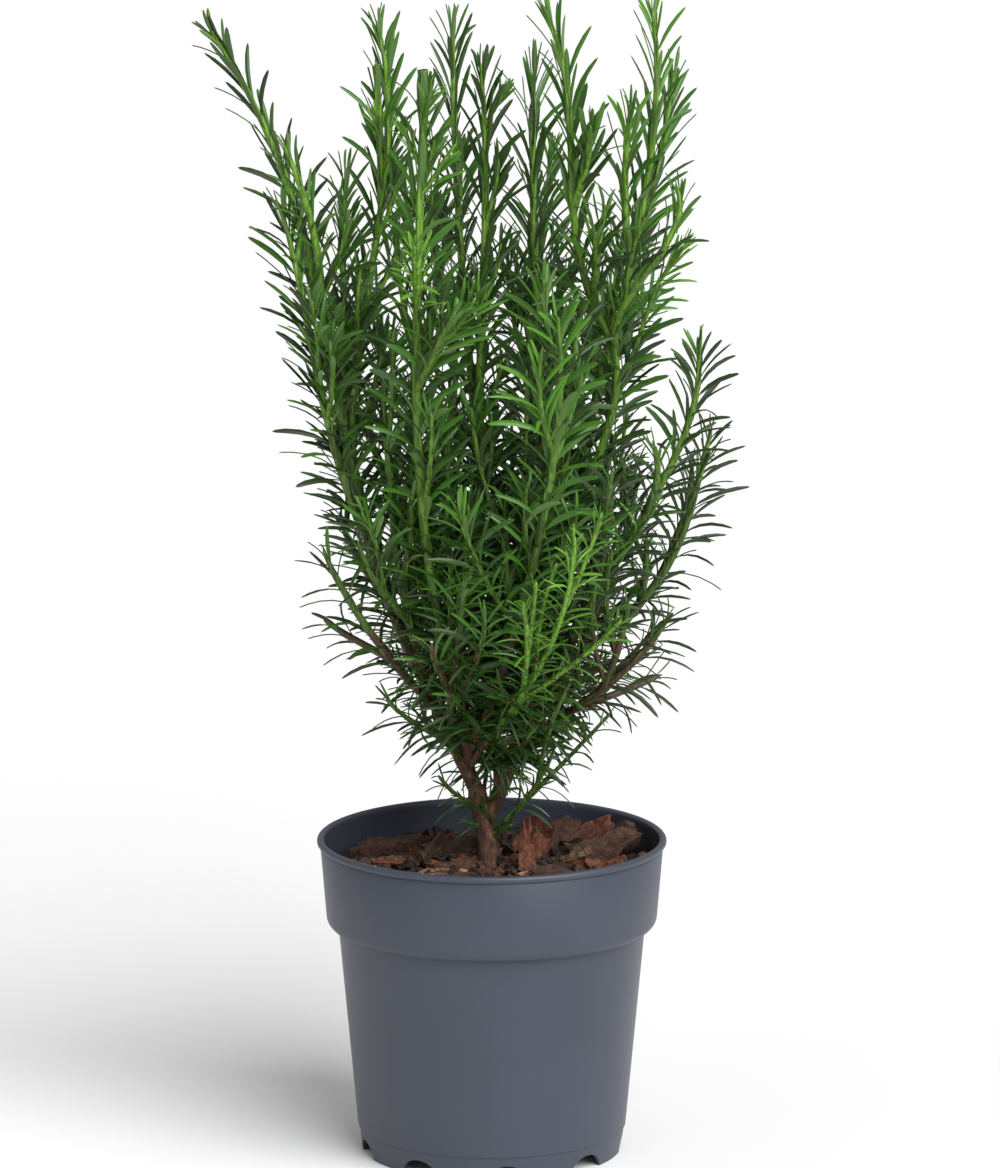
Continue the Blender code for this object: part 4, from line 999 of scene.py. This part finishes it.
def plan_limbs():
    """The trunk and the boughs, each as a bowed line."""
    trunk = Limb("trunk", millimetres(TRUNK_FOOT), millimetres(TRUNK_TIP), (TRUNK_BOW, TRUNK_BOW),
                 TRUNK_RADII[0] * MM, TRUNK_RADII[-1] * MM)
    trunk.radii = TRUNK_RADII
    limbs = {"trunk": trunk}
    for name, bough in BOUGHS.items():
        limbs[name] = Limb(name, limbs[bough.parent].point(bough.at), millimetres(bough.tip),
                           (bough.bow, bough.bow), bough.foot_radius * MM, bough.tip_radius * MM)
    return limbs


def plan_shoots(name, limbs):
    """The named shoots of one mass. A shoot's tip is where its last needles end."""
    parent_name, at, shoots = MASSES[name]
    parent = limbs[parent_name]
    side_radius = SLIM_SHOOT_RADIUS if name in SLIM_MASSES else SIDE_SHOOT_RADIUS
    planned = []
    for k, shoot in enumerate(shoots):
        tip = millimetres(shoot.tip)
        if shoot.parent is not None:
            foot, radius = planned[shoot.parent].point(shoot.at), side_radius
        else:
            foot = parent.point(at)
            radius = parent.tip_radius if at == 1.0 else side_radius
        pruned = name == PRUNED_MASS and k == 0
        if not pruned:
            tip = tip - (tip - foot).normalized() * TIP_TUFT
        bows = (shoot.low_bow, shoot.high_bow)
        limb = Limb(f"{name}_{k}", foot, tip, bows, radius, SHOOT_TIP_RADIUS)
        if pruned:
            limb.tip_radius = CUT_RADIUS
            limb.pruned = True
        elif name not in BARE_STEMS:
            limb.cushion = NEEDLE_CUSHION
        planned.append(limb)
    return planned


class Space:
    """Every stem as points, to tell how much room a place has."""

    def __init__(self):
        self.points, self.owners, self.shoots = [], [], []
        self.packed = None

    def add(self, limb, owner, shoot):
        for point, _ in limb.stations():
            self.points.append(tuple(point))
            self.owners.append(owner)
            self.shoots.append(shoot)
        self.packed = None

    def nearest(self, place, skipped):
        """The distance from a place to the nearest stem that isn't the skipped one."""
        if self.packed is None:
            self.packed = tuple(np.array(v) for v in (self.points, self.owners, self.shoots))
        points, owners, shoots = self.packed
        distances = np.linalg.norm(points - np.array(place), axis=1)
        return distances[(owners != skipped[0]) | (shoots != skipped[1])].min()


def in_crown(place, margin):
    """Whether a place lies inside the crown's outline by a margin."""
    rows = np.array(CROWN) * MM
    left, right, front, back = (np.interp(place.z, rows[:, 0], rows[:, k]) for k in range(1, 5))
    across = right if place.x > 0 else left
    deep = back if place.y > 0 else front
    return (place.x / (across - margin)) ** 2 + (place.y / (deep - margin)) ** 2 < 1


def in_sky(place, patches):
    """Whether a place lies in one of the patches of open sky."""
    return any(
        ((place.x / MM - x) / wide) ** 2 + ((place.z / MM - z) / high) ** 2 < 1
        for x, z, wide, high in patches
    )


def side_twigs(planned, owner, space, chance, rule):
    """Twigs that branch off the shoots, not outward, where the crown has room beside them."""
    twigs = []
    patches = SKY if rule is TWIGS else FINE_SKY
    for k, shoot in enumerate(list(planned)):
        turn = chance.uniform(0, math.tau)
        share = rule.stretch[0]
        while share < rule.stretch[1]:
            turn += GOLDEN_TURN
            foot = shoot.point(share)
            heading = shoot.direction(share)
            out = Matrix.Rotation(turn, 3, heading) @ heading.orthogonal().normalized()
            fullness = float(np.interp(foot.z, rule.heights, (1, 0)))
            length = chance.uniform(*rule.lengths) * fullness
            share += rule.step / shoot.length
            if length < rule.shortest or out.xy.dot(foot.xy.normalized()) > rule.outward:
                continue
            tip = foot + (heading * math.cos(rule.lean) + out * math.sin(rule.lean)) * length
            places = [foot.lerp(tip, part) for part in TWIG_MEASURED_AT]
            clear = all(
                space.nearest(place, (owner, k)) > rule.clearance and not in_sky(place, patches)
                for place in places
            )
            if clear and in_crown(tip, TIP_TUFT):
                bow = Vector(out.xy) * (length * TWIG_BOW / MM)
                twig = Limb(f"{shoot.name}_twig", foot, tip, (bow, bow), rule.radius,
                            min(rule.radius, SHOOT_TIP_RADIUS))
                space.add(twig, owner, len(planned) + len(twigs))
                twigs.append(twig)
    return twigs


def at_height(limb, height):
    """The point of a limb at a height."""
    shares = np.linspace(0, 1, 101)
    return limb.point(float(np.interp(height, [limb.point(share).z for share in shares], shares)))


def bough_sprigs(limb, owner, space, chance):
    """The sprigs along a bough, from where the crown's foot begins."""
    low = (LOWEST_SPRIG - limb.foot.z) / (limb.tip.z - limb.foot.z)
    rule = SPRIGS._replace(stretch=(max(SPRIGS.stretch[0], low), SPRIGS.stretch[1]))
    return side_twigs([limb], owner, space, chance, rule)


@lru_cache
def plan_plant():
    """Every limb, and every mass with its shoots, its twigs, its finer twigs and its sprigs."""
    limbs = plan_limbs()
    masses = {name: plan_shoots(name, limbs) for name in MASSES}
    space = Space()
    for k, limb in enumerate(limbs.values()):
        space.add(limb, -1 - k, 0)
    for owner, planned in enumerate(masses.values()):
        for number, shoot in enumerate(planned):
            space.add(shoot, owner, number)
    for first_seed, rule in ((SEED, TWIGS), (SEED * 7, FINE_TWIGS)):
        for owner, planned in enumerate(masses.values()):
            chance = random.Random(first_seed + owner)
            planned.extend(side_twigs(planned, owner, space, chance, rule))
    bearers = {parent: name for name, (parent, _, _) in MASSES.items() if parent != "trunk"}
    for k, (parent, limb) in enumerate(limbs.items()):
        if parent in bearers:
            chance = random.Random(SEED * 13 + k)
            masses[bearers[parent]].extend(bough_sprigs(limb, -1 - k, space, chance))
    for name, number, height, tip in SPURS + CUT_SPURS:
        bearer = limbs["trunk"] if number is None else masses[name][number]
        foot = at_height(bearer, height * MM)
        spur = Limb(f"{name}_spur", foot, millimetres(tip), ((0, 0), (0, 0)), SPRIGS.radius,
                    SHOOT_TIP_RADIUS)
        if (name, number, height, tip) in CUT_SPURS:
            spur.foot_radius = spur.tip_radius = SIDE_SHOOT_RADIUS
            spur.pruned = True
        masses[name].append(spur)
    return limbs, masses


def sweep(limb, step, sides, relief=None, blunt=False):
    """A limb's surface as rings of points along it, closed at both ends."""
    count = max(3, math.ceil(limb.length / step))
    points, faces = [], []
    heading = limb.direction(0)
    across = heading.orthogonal().normalized()
    for k in range(count + 1):
        share = k / count
        heading = limb.direction(share)
        across = (across - heading * across.dot(heading)).normalized()
        side = heading.cross(across)
        middle = limb.point(share)
        for turn_number in range(sides):
            turn = math.tau * turn_number / sides
            out = across * math.cos(turn) + side * math.sin(turn)
            radius = limb.radius(share)
            if relief:
                radius += relief(turn, share * limb.length, radius)
            points.append(middle + out * radius)
    for ring in range(count):
        start = ring * sides
        for side_number in range(sides):
            after = (side_number + 1) % sides
            faces.append((start + side_number, start + after,
                          start + sides + after, start + sides + side_number))
    end = count * sides
    tip = limb.tip if blunt else limb.tip + limb.direction(1) * limb.tip_radius * 2.5
    points.append(tip)
    faces += [(end + k, end + (k + 1) % sides, len(points) - 1) for k in range(sides)]
    points.append(limb.foot)
    faces += [((k + 1) % sides, k, len(points) - 1) for k in range(sides)]
    return points, faces


def bark_relief(amount, shift):
    """How far the bark's plates stand out, round the limb and along it."""
    def relief(turn, along, radius):
        place = Vector((math.cos(turn) * radius, math.sin(turn) * radius, along * 0.35))
        plates = noise.noise(place * per_metre(2.0 * MM) + shift)
        lumps = noise.noise(place * per_metre(6.0 * MM) + shift * 2)
        return amount * (0.8 * plates + 0.9 * lumps)
    return relief


def bark_mesh(name, limb, settings, number):
    """The trunk or a bough, with its bark's relief."""
    sides = 40 if name == "trunk" else 20
    step = 1.0 * MM if name == "trunk" else 1.6 * MM
    amount = settings.relief * min(1.0, limb.foot_radius / (4 * MM))
    points, faces = sweep(limb, step, sides, bark_relief(amount, Vector((number * 7.3, 1.7, 0))))
    return mesh_from(name, points, faces, sharp=50)


# Needles

# A needle is a flat blade with a raised midrib, slim at its foot and widest near its blunt tip.
# Its base runs on down the stem as a ridge. Needles stand in two loose ranks beside the stem.
NEEDLE_RINGS = np.array([0.0, 0.10, 0.30, 0.54, 0.78, 0.94])
NEEDLE_WIDTHS = np.array([0.34, 0.54, 0.88, 1.0, 0.90, 0.56])
NEEDLE_THICKNESS = 0.7 * MM
NEEDLE_BASE = 7 * MM
FIRST_NEEDLE = 5 * MM
SHORTEST_NEEDLE = 5 * MM
SPRAY_OF = 9
TINTS = 5
UNDER_SHADED, UNDER_LIT, BASE_TINT, SIDE_SHADE_TINT = 5, 6, 7, 8
# With height, in millimetres, needles lean out less and curl less, in degrees.
NEEDLE_HEIGHTS = (240, 380, 470, 580)
NEEDLE_LEANS = (38, 30, 22, 11)
NEEDLE_CURLS = (34, 34, 27, 19)
LOW_CROWN = (200 * MM, 370 * MM)
TOP_CROWN = (470 * MM, 540 * MM)
SIDE_OF_CROWN = 60 * MM
TUFT_LENGTH = 24 * MM
CUT_BUNDLE = 16 * MM
FRONT = Vector((0, -1, 0))
LIGHT_SIDE = Vector((0.5, -0.5, 0.7)).normalized()

# How the needles of a shoot or of a whole mass differ from the others: how far apart they stand,
# how wide and how long they grow, and how fresh they are.
Growth = namedtuple("Growth", "pitch width length freshness")
GROWTH = {
    "foliage_front_leader_0": Growth(1.10, 1.30, 1.05, 0.3),
    "foliage_front_leader_1": Growth(1.10, 1.15, 0.90, 0.8),
    "foliage_front_right_0": Growth(1.20, 1.25, 1.00, 0.5),
    "foliage_left_top_0": Growth(1.05, 1.05, 1.00, -0.5),
    "foliage_left_top_1": Growth(1.10, 0.90, 0.85, 0.2),
    "foliage_left_top_2": Growth(1.20, 0.80, 0.80, 0.0),
    "foliage_left_top_4": Growth(0.90, 1.10, 1.00, 0.0),
    "foliage_right_top_1": Growth(0.95, 1.10, 1.00, 0.3),
    "foliage_right_top_2": Growth(0.90, 0.85, 0.72, 0.2),
    "foliage_right_top_3": Growth(0.80, 1.05, 1.00, 0.2),
    "foliage_centre_0": Growth(1.05, 1.15, 1.00, 0.2),
    "foliage_centre_back_0": Growth(0.80, 1.10, 1.15, 0.2),
    "foliage_right_mid_0": Growth(0.70, 0.95, 0.90, -0.4),
    "foliage_right_mid": Growth(1.25, 0.85, 0.80, -0.2),
    "foliage_right_outer_0": Growth(0.95, 0.80, 0.95, -0.6),
    "foliage_right_outer": Growth(1.60, 0.75, 0.80, -0.7),
    "foliage_right_back": Growth(1.60, 0.80, 0.80, -0.5),
    "foliage_right_low": Growth(1.30, 0.90, 0.95, -0.4),
    "foliage_left_back": Growth(1.40, 0.85, 0.70, -0.4),
    "foliage_left_low": Growth(1.50, 0.95, 0.95, -0.3),
    "foliage_left_sprig": Growth(1.35, 0.95, 0.90, -0.2),
    "foliage_front_low": Growth(0.90, 0.75, 0.60, 1.0),
    "foliage_trunk_left": Growth(1.60, 0.80, 0.70, -0.3),
    "foliage_trunk_right": Growth(2.60, 0.95, 0.75, -0.3),
}
PLAIN_GROWTH = Growth(1.0, 1.0, 1.0, 0.0)
SPUR_GROWTH = Growth(0.8, 0.9, 0.8, 1.6)


def inside_share(place):
    """How deep in the crown a place lies: 0 on the crown's outline and 1 on its axis."""
    rows = np.array(CROWN) * MM
    left, right, front, back = (np.interp(place.z, rows[:, 0], rows[:, k]) for k in range(1, 5))
    across = right if place.x > 0 else left
    deep = back if place.y > 0 else front
    return max(0.0, 1 - math.hypot(place.x / across, place.y / deep))


def growth_of(shoot, mass):
    """How the needles of a shoot grow."""
    if shoot.name.endswith("_spur") and not shoot.pruned:
        return SPUR_GROWTH if shoot.foot.z > LOW_CROWN[1] else GROWTH[mass]
    return GROWTH.get(shoot.name, GROWTH.get(mass, PLAIN_GROWTH))


def needle_places(shoot, settings, chance, growth):
    """Where the needles of one shoot go, and how each leans, curls and is tinted."""
    found = []
    vigour = chance.uniform(-0.5, 0.5) + growth.freshness
    turn = chance.uniform(0, math.tau)
    along = FIRST_NEEDLE
    number = 0
    spray_tint = 0.0
    while along < shoot.length:
        share = along / shoot.length
        left = shoot.length - along
        if number % SPRAY_OF == 0:
            spray_tint = chance.uniform(-0.7, 0.7)
        heading = shoot.direction(share)
        foot = shoot.point(share)
        low = float(np.interp(foot.z, LOW_CROWN, (1, 0)))
        top = float(np.interp(foot.z, TOP_CROWN, (0, 1)))
        side = heading.cross(FRONT).normalized()
        flat = (0.30 + 0.55 * max(0.0, -foot.y) / max(foot.xy.length, MM)) * (1 - 0.85 * top)
        turn += GOLDEN_TURN + chance.uniform(-0.15, 0.15)
        spread = turn - flat * math.sin(2 * turn) / 2
        out = side * math.cos(spread) + side.cross(heading) * math.sin(spread)
        open_share = min(1.0, left / TUFT_LENGTH) if not shoot.pruned else 1.0
        lean, curl = (np.interp(foot.z / MM, NEEDLE_HEIGHTS, row) for row in (NEEDLE_LEANS, NEEDLE_CURLS))
        lean = lean * (0.45 + 0.55 * open_share) + chance.gauss(0, 6)
        recurve = curl * (0.35 + 0.65 * open_share) + chance.gauss(0, 9)
        droop = max(0.0, 0.06 + 0.5 * low + chance.gauss(0, 0.10))
        grown = (0.45 + 0.55 * open_share) * min(1.0, 0.7 + share * 2)
        length = settings.needle_length * growth.length * grown * chance.uniform(0.82, 1.12)
        room = left / math.cos(math.radians(lean)) if shoot.pruned else length
        # Painted shade: the tint darkens deeper in the crown and low down; the fresh tips and the spread
        # between shoots and sprays are the needles' own.
        age_and_painted_shade = 2.9 - 1.9 * inside_share(foot) + vigour + spray_tint + 0.5 * (1 - open_share) - 1.1 * low
        tint = min(TINTS - 1, max(0, int(age_and_painted_shade)))
        # Painted shade: needles at the crown's lower sides that point outward take the dark dull green.
        edge_share = min(1.0, abs(foot.x) / SIDE_OF_CROWN)
        outward = 0.6 + 0.6 * out.x * math.copysign(1.0, foot.x)
        side_shade_chance = edge_share * max(0.35, low) * (1 - top) * outward
        if chance.random() < side_shade_chance - growth.freshness:
            tint = SIDE_SHADE_TINT
        crowding = low * (0.35 - 0.6 * edge_share)
        pitch = settings.needle_pitch * (0.45 + 0.55 * open_share) * (1 - crowding)
        if shoot.pruned and left < CUT_BUNDLE:
            lean, recurve, pitch = 0.3 * lean, 0.2 * recurve, 0.5 * pitch
        if min(length, room) > SHORTEST_NEEDLE:
            found.append((
                foot, heading, out, shoot.radius(share), math.radians(lean), min(length, room),
                math.radians(recurve), math.radians(chance.gauss(0, 9)), chance.gauss(0.05, 0.40),
                droop, growth.width * chance.uniform(0.70, 1.12) * (1 - 0.28 * low), float(room < length),
                tint,
            ))
        along += pitch * growth.pitch * chance.uniform(0.85, 1.15)
        number += 1
    return found


def unit(rows):
    return rows / np.maximum(np.linalg.norm(rows, axis=-1, keepdims=True), 1e-12)


def needles_mesh(name, found, settings):
    """All the needles of a mass as one mesh."""
    foot, heading, out = (np.array([row[k] for row in found], dtype=float) for k in range(3))
    radius, lean, length, recurve, swerve, twist, droop, breadth, clipped = (
        np.array([row[k] for row in found], dtype=float)[:, None] for k in range(3, 12)
    )
    tint = np.array([row[12] for row in found])
    up = np.array([0.0, 0.0, 1.0])
    light = np.array(LIGHT_SIDE)
    count = len(found)
    aside = np.cross(out, heading)
    surface = foot + out * (radius * 0.92)
    # The blade turns its upper side to the light, by a twist of its stalk.
    upper = np.sin(lean) * heading - np.cos(lean) * out
    toward = np.arctan2((aside * light).sum(1), (upper * light).sum(1))[:, None]
    twist = twist + np.clip(toward, -1.2, 1.2) * 0.7
    widths = settings.needle_width / 2 * NEEDLE_WIDTHS
    rings = [surface - heading * NEEDLE_BASE]
    bases = [(-out, aside)]
    middle = surface.copy()
    last = 0.0
    for place in (*NEEDLE_RINGS, 1.0):
        angle = lean + recurve * place
        sway = swerve * place
        along = np.cos(sway) * (np.cos(angle) * heading + np.sin(angle) * out) + np.sin(sway) * aside
        along = unit(along - up * droop * place)
        step = length * (place - last)
        middle = middle + along * (step if place < 1.0 else step * (1 - 0.9 * clipped))
        last = place
        across = unit(np.cross(along, np.sin(angle) * heading - np.cos(angle) * out))
        face = np.cross(across, along)
        turn = twist * min(1.0, place / NEEDLE_RINGS[1])
        rings.append(middle)
        bases.append((np.cos(turn) * face + np.sin(turn) * across,
                      np.cos(turn) * across - np.sin(turn) * face))
    points = []
    blade = [0.5 * widths[0], *widths]
    slim = np.minimum(1.0, 0.35 + 0.65 * length / settings.needle_length) * breadth
    thick = NEEDLE_THICKNESS / 2
    for k, half_width in enumerate(blade):
        face, across = bases[k]
        if k == len(blade) - 1:
            half_width = half_width + (widths.max() - half_width) * clipped
        points += [
            rings[k] - across * half_width * slim,
            rings[k] + face * thick,
            rings[k] + across * half_width * slim,
            rings[k] - face * thick,
        ]
    points.append(rings[-1])
    per_needle = len(points)
    places = np.stack(points, axis=1).reshape(-1, 3)
    pattern, kinds = [], []
    for ring in range(len(blade) - 1):
        start = ring * 4
        for side in range(4):
            after = (side + 1) % 4
            pattern.append((start + side, start + after, start + 4 + after, start + 4 + side))
            kinds.append("base" if ring == 0 else "under" if side >= 2 else "upper")
    start = (len(blade) - 1) * 4
    for side in range(4):
        pattern.append((start + side, start + (side + 1) % 4, start + 4))
        kinds.append("under" if side >= 2 else "upper")
    pattern.append((3, 2, 1, 0))
    kinds.append("base")
    faces, tints = [], []
    for number in range(count):
        start = number * per_needle
        faces.extend(tuple(start + knot for knot in face) for face in pattern)
        colours = {
            "upper": tint[number],
            "under": UNDER_LIT if 2 <= tint[number] < TINTS else UNDER_SHADED,
            "base": BASE_TINT,
        }
        tints.extend(colours[kind] for kind in kinds)
    return mesh_from(name, places, faces, tints, sharp=12)


STEM_SIDES = 7
STEM_RING = 5 * MM

# Up to which heights the stems of a mass are woody, then dull, then grown; above they are young. The dull
# and grown greens are the young green darkened, partly for age and partly as painted shade lower in the
# crown.
STEM_AGES_AND_PAINTED_SHADE = {
    "foliage_left_top": (338, 400, 470),
    "foliage_centre": (340, 400, 480),
    "foliage_front_low": (225, 238, 240),
    "foliage_front_leader": (262, 310, 470),
    "foliage_trunk_left": (0, 400, 500),
    "foliage_trunk_right": (0, 400, 500),
    "foliage_left_sprig": (215, 400, 500),
}
PLAIN_AGES_AND_PAINTED_SHADE = (290, 370, 500)
CUT_LENGTH = 5 * MM
WOODY_SKIN, DULL_SKIN, GROWN_PAINTED_SHADE_SKIN, YOUNG_SKIN = range(4)


def stems_mesh(name, shoots, ages_and_painted_shade):
    """The stems of a mass: woody near the crown's foot and where one was cut, greener above; the darker
    greens lower down are partly painted shade.
    """
    points, faces, tints = [], [], []
    for shoot in shoots:
        some, their_faces = sweep(shoot, STEM_RING, STEM_SIDES, None, shoot.pruned)
        start = len(points)
        points.extend(some)
        for face in their_faces:
            foot = some[face[0]]
            cut_end = shoot.pruned and (foot - shoot.tip).length < CUT_LENGTH
            faces.append(tuple(start + knot for knot in face))
            tints.append(WOODY_SKIN if cut_end else sum(foot.z / MM > age_and_painted_shade for age_and_painted_shade in ages_and_painted_shade))
    return mesh_from(name, points, faces, tints, sharp=60)


# Operators: one for each piece or group of like pieces, and one for the stage

LIT_PLACE = Vector((0, 0, 0.3))


def soft_light(name, kind, energy, spread, place):
    """A light that looks at the plant: a sun of a wide angle, or a large square."""
    lamp = bpy.data.lights.new(name, kind)
    lamp.energy = energy
    if kind == "SUN":
        lamp.angle = spread
    else:
        lamp.size = spread
    light = bpy.data.objects.new(name, lamp)
    bpy.context.scene.collection.objects.link(light)
    light.location = place
    light.rotation_euler = (LIT_PLACE - Vector(place)).to_track_quat("-Z", "Y").to_euler()
    return light


class YEW_OT_stage(Operator):
    """Make the camera, the pale floor and the soft studio light"""
    bl_idname = "yew.stage"
    bl_label = "Stage"

    def execute(self, context):
        settings = context.scene.yew_stage
        scene = context.scene
        scene.view_settings.view_transform = "Standard"
        lens = bpy.data.cameras.new("camera")
        lens.lens = CAMERA_LENS
        lens.sensor_width = CAMERA_SENSOR
        lens.clip_end = 100
        camera = bpy.data.objects.new("camera", lens)
        scene.collection.objects.link(camera)
        camera.location = CAMERA_PLACE
        camera.rotation_euler = (CAMERA_PITCH, 0, 0)
        scene.camera = camera

        floor_mesh = bpy.data.meshes.new("floor")
        work = bmesh.new()
        bmesh.ops.create_circle(work, cap_ends=True, segments=64, radius=40)
        work.to_mesh(floor_mesh)
        work.free()
        floor_mesh.materials.append(plain_floor(settings))
        floor = bpy.data.objects.new("floor", floor_mesh)
        scene.collection.objects.link(floor)

        world = bpy.data.worlds.new("studio")
        world.use_nodes = True
        sky = world.node_tree.nodes["Background"]
        sky.inputs["Color"].default_value = (1, 1, 1, 1)
        sky.inputs["Strength"].default_value = settings.sky_strength
        scene.world = world
        soft_light("key_light", "SUN", settings.key_strength, math.radians(52), (1.5, -2.0, 2.4))
        soft_light("fill_light", "AREA", settings.fill_power, 2.2, (-2.2, -2.4, 1.4))
        return {"FINISHED"}


class YEW_OT_pot(Operator):
    """Make the moulded nursery pot"""
    bl_idname = "yew.pot"
    bl_label = "Pot"

    def execute(self, context):
        settings = context.scene.yew_pot
        new_piece("nursery_pot", pot_mesh(settings), [satin_polypropylene(settings)], "pot", "pot")
        return {"FINISHED"}


class YEW_OT_soil(Operator):
    """Give the potting soil its finish"""
    bl_idname = "yew.soil"
    bl_label = "Soil"

    def execute(self, context):
        soil = frame["nodes"]["soil"]
        peat = damp_peat("damp_peat", hex_colour("#241A14"))
        for place in soil.material_slots:
            place.material = peat
        if not soil.material_slots:
            soil.data.materials.append(peat)
        return {"FINISHED"}


class YEW_OT_mulch(Operator):
    """Make the bed of bark crumbs and the loose chips on it"""
    bl_idname = "yew.mulch"
    bl_label = "Bark mulch"

    def execute(self, context):
        settings = context.scene.yew_mulch
        crumbs = damp_peat("bark_crumbs", tuple(settings.dark))
        new_piece("mulch_bed", bed_mesh(), [crumbs], "bark_mulch", "bark_mulch")
        tints = [
            pine_bark("bark_damp", tuple(settings.dark), 0.7),
            pine_bark("bark_brown", tuple(settings.brown)),
            pine_bark("bark_orange", tuple(settings.orange)),
            pine_bark("wood_sliver", tuple(settings.tan)),
        ]
        new_piece("bark_chips", chips_mesh(settings), tints, "bark_mulch", "bark_mulch")
        return {"FINISHED"}


class YEW_OT_bark(Operator):
    """Make the trunk and boughs with their bark"""
    bl_idname = "yew.bark"
    bl_label = "Trunk and boughs"

    def execute(self, context):
        settings = context.scene.yew_bark
        bark = yew_bark(settings)
        limbs, _ = plan_plant()
        for number, (name, limb) in enumerate(limbs.items()):
            mesh = bark_mesh(name, limb, settings, number)
            new_piece(f"bark_{name}", mesh, [bark], "wood", name)
        return {"FINISHED"}


class YEW_OT_stems(Operator):
    """Make the green stems of every mass of foliage"""
    bl_idname = "yew.stems"
    bl_label = "Green stems"

    def execute(self, context):
        settings = context.scene.yew_foliage
        skins = [
            green_bark("woody_stem", settings.stem_brown, shade(settings.stem_brown, 0.5)),
            # The dull and grown stems are darker copies of the young green: partly age, partly painted
            # shade lower in the crown.
            green_bark("dull_stem", shade(settings.stem_green, 0.3), shade(settings.stem_furrow, 0.3)),
            green_bark("grown_stem_painted_shade", shade(settings.stem_green, 0.6), shade(settings.stem_furrow, 0.6)),
            green_bark("young_stem", settings.stem_green, settings.stem_furrow),
        ]
        _, masses = plan_plant()
        for name, shoots in masses.items():
            piece = "stems" + name.removeprefix("foliage")
            ages_and_painted_shade = STEM_AGES_AND_PAINTED_SHADE.get(name, PLAIN_AGES_AND_PAINTED_SHADE)
            new_piece(piece, stems_mesh(piece, shoots, ages_and_painted_shade), skins, "foliage", name)
        return {"FINISHED"}


class YEW_OT_needles(Operator):
    """Make the needles of every mass of foliage"""
    bl_idname = "yew.needles"
    bl_label = "Needles"

    def execute(self, context):
        settings = context.scene.yew_foliage
        skins = [
            waxy_needle("needle_shaded", settings.shaded, 0.36),
            waxy_needle("needle_dark", settings.dark, 0.34),
            waxy_needle("needle_middle", settings.middle, 0.34),
            waxy_needle("needle_fresh", settings.fresh, 0.38),
            waxy_needle("needle_new", settings.new, 0.42),
            waxy_needle("needle_under_shaded", shade(settings.under, 0.45), 0.55),
            waxy_needle("needle_under", settings.under, 0.55),
            green_bark("needle_base", shade(settings.stem_green, 0.7), shade(settings.stem_furrow, 0.7)),
            waxy_needle("needle_side_shade", settings.dull, 0.45),
        ]
        _, masses = plan_plant()
        for owner, (name, shoots) in enumerate(masses.items()):
            chance = random.Random(SEED * 31 + owner)
            found = []
            for shoot in shoots:
                found += needle_places(shoot, settings, chance, growth_of(shoot, name))
            piece = "needles" + name.removeprefix("foliage")
            new_piece(piece, needles_mesh(piece, found, settings), skins, "foliage", name)
        return {"FINISHED"}


class YEW_PT_panel(Panel):
    """The yew's pieces and settings"""
    bl_idname = "YEW_PT_panel"
    bl_label = "Potted hybrid yew"
    bl_space_type = "VIEW_3D"
    bl_region_type = "UI"
    bl_category = "Yew"

    def draw(self, context):
        for made in OPERATORS:
            self.layout.operator(made.bl_idname)
        for name, group in SETTINGS.items():
            box = self.layout.box()
            settings = getattr(context.scene, name)
            for setting in group.__annotations__:
                box.prop(settings, setting)


SETTINGS = {
    "yew_stage": YewStageSettings,
    "yew_pot": YewPotSettings,
    "yew_mulch": YewMulchSettings,
    "yew_bark": YewBarkSettings,
    "yew_foliage": YewFoliageSettings,
}
OPERATORS = (
    YEW_OT_stage, YEW_OT_pot, YEW_OT_soil, YEW_OT_mulch, YEW_OT_bark, YEW_OT_stems, YEW_OT_needles
)


def register():
    for group in (*SETTINGS.values(), *OPERATORS, YEW_PT_panel):
        bpy.utils.register_class(group)
    for name, group in SETTINGS.items():
        setattr(bpy.types.Scene, name, PointerProperty(type=group))


def unregister():
    for name in SETTINGS:
        delattr(bpy.types.Scene, name)
    for group in reversed((*SETTINGS.values(), *OPERATORS, YEW_PT_panel)):
        bpy.utils.unregister_class(group)


def main():
    register()
    bpy.ops.yew.stage()
    bpy.ops.yew.pot()
    bpy.ops.yew.soil()
    bpy.ops.yew.mulch()
    bpy.ops.yew.bark()
    bpy.ops.yew.stems()
    bpy.ops.yew.needles()


if __name__ == "__main__":
    main()
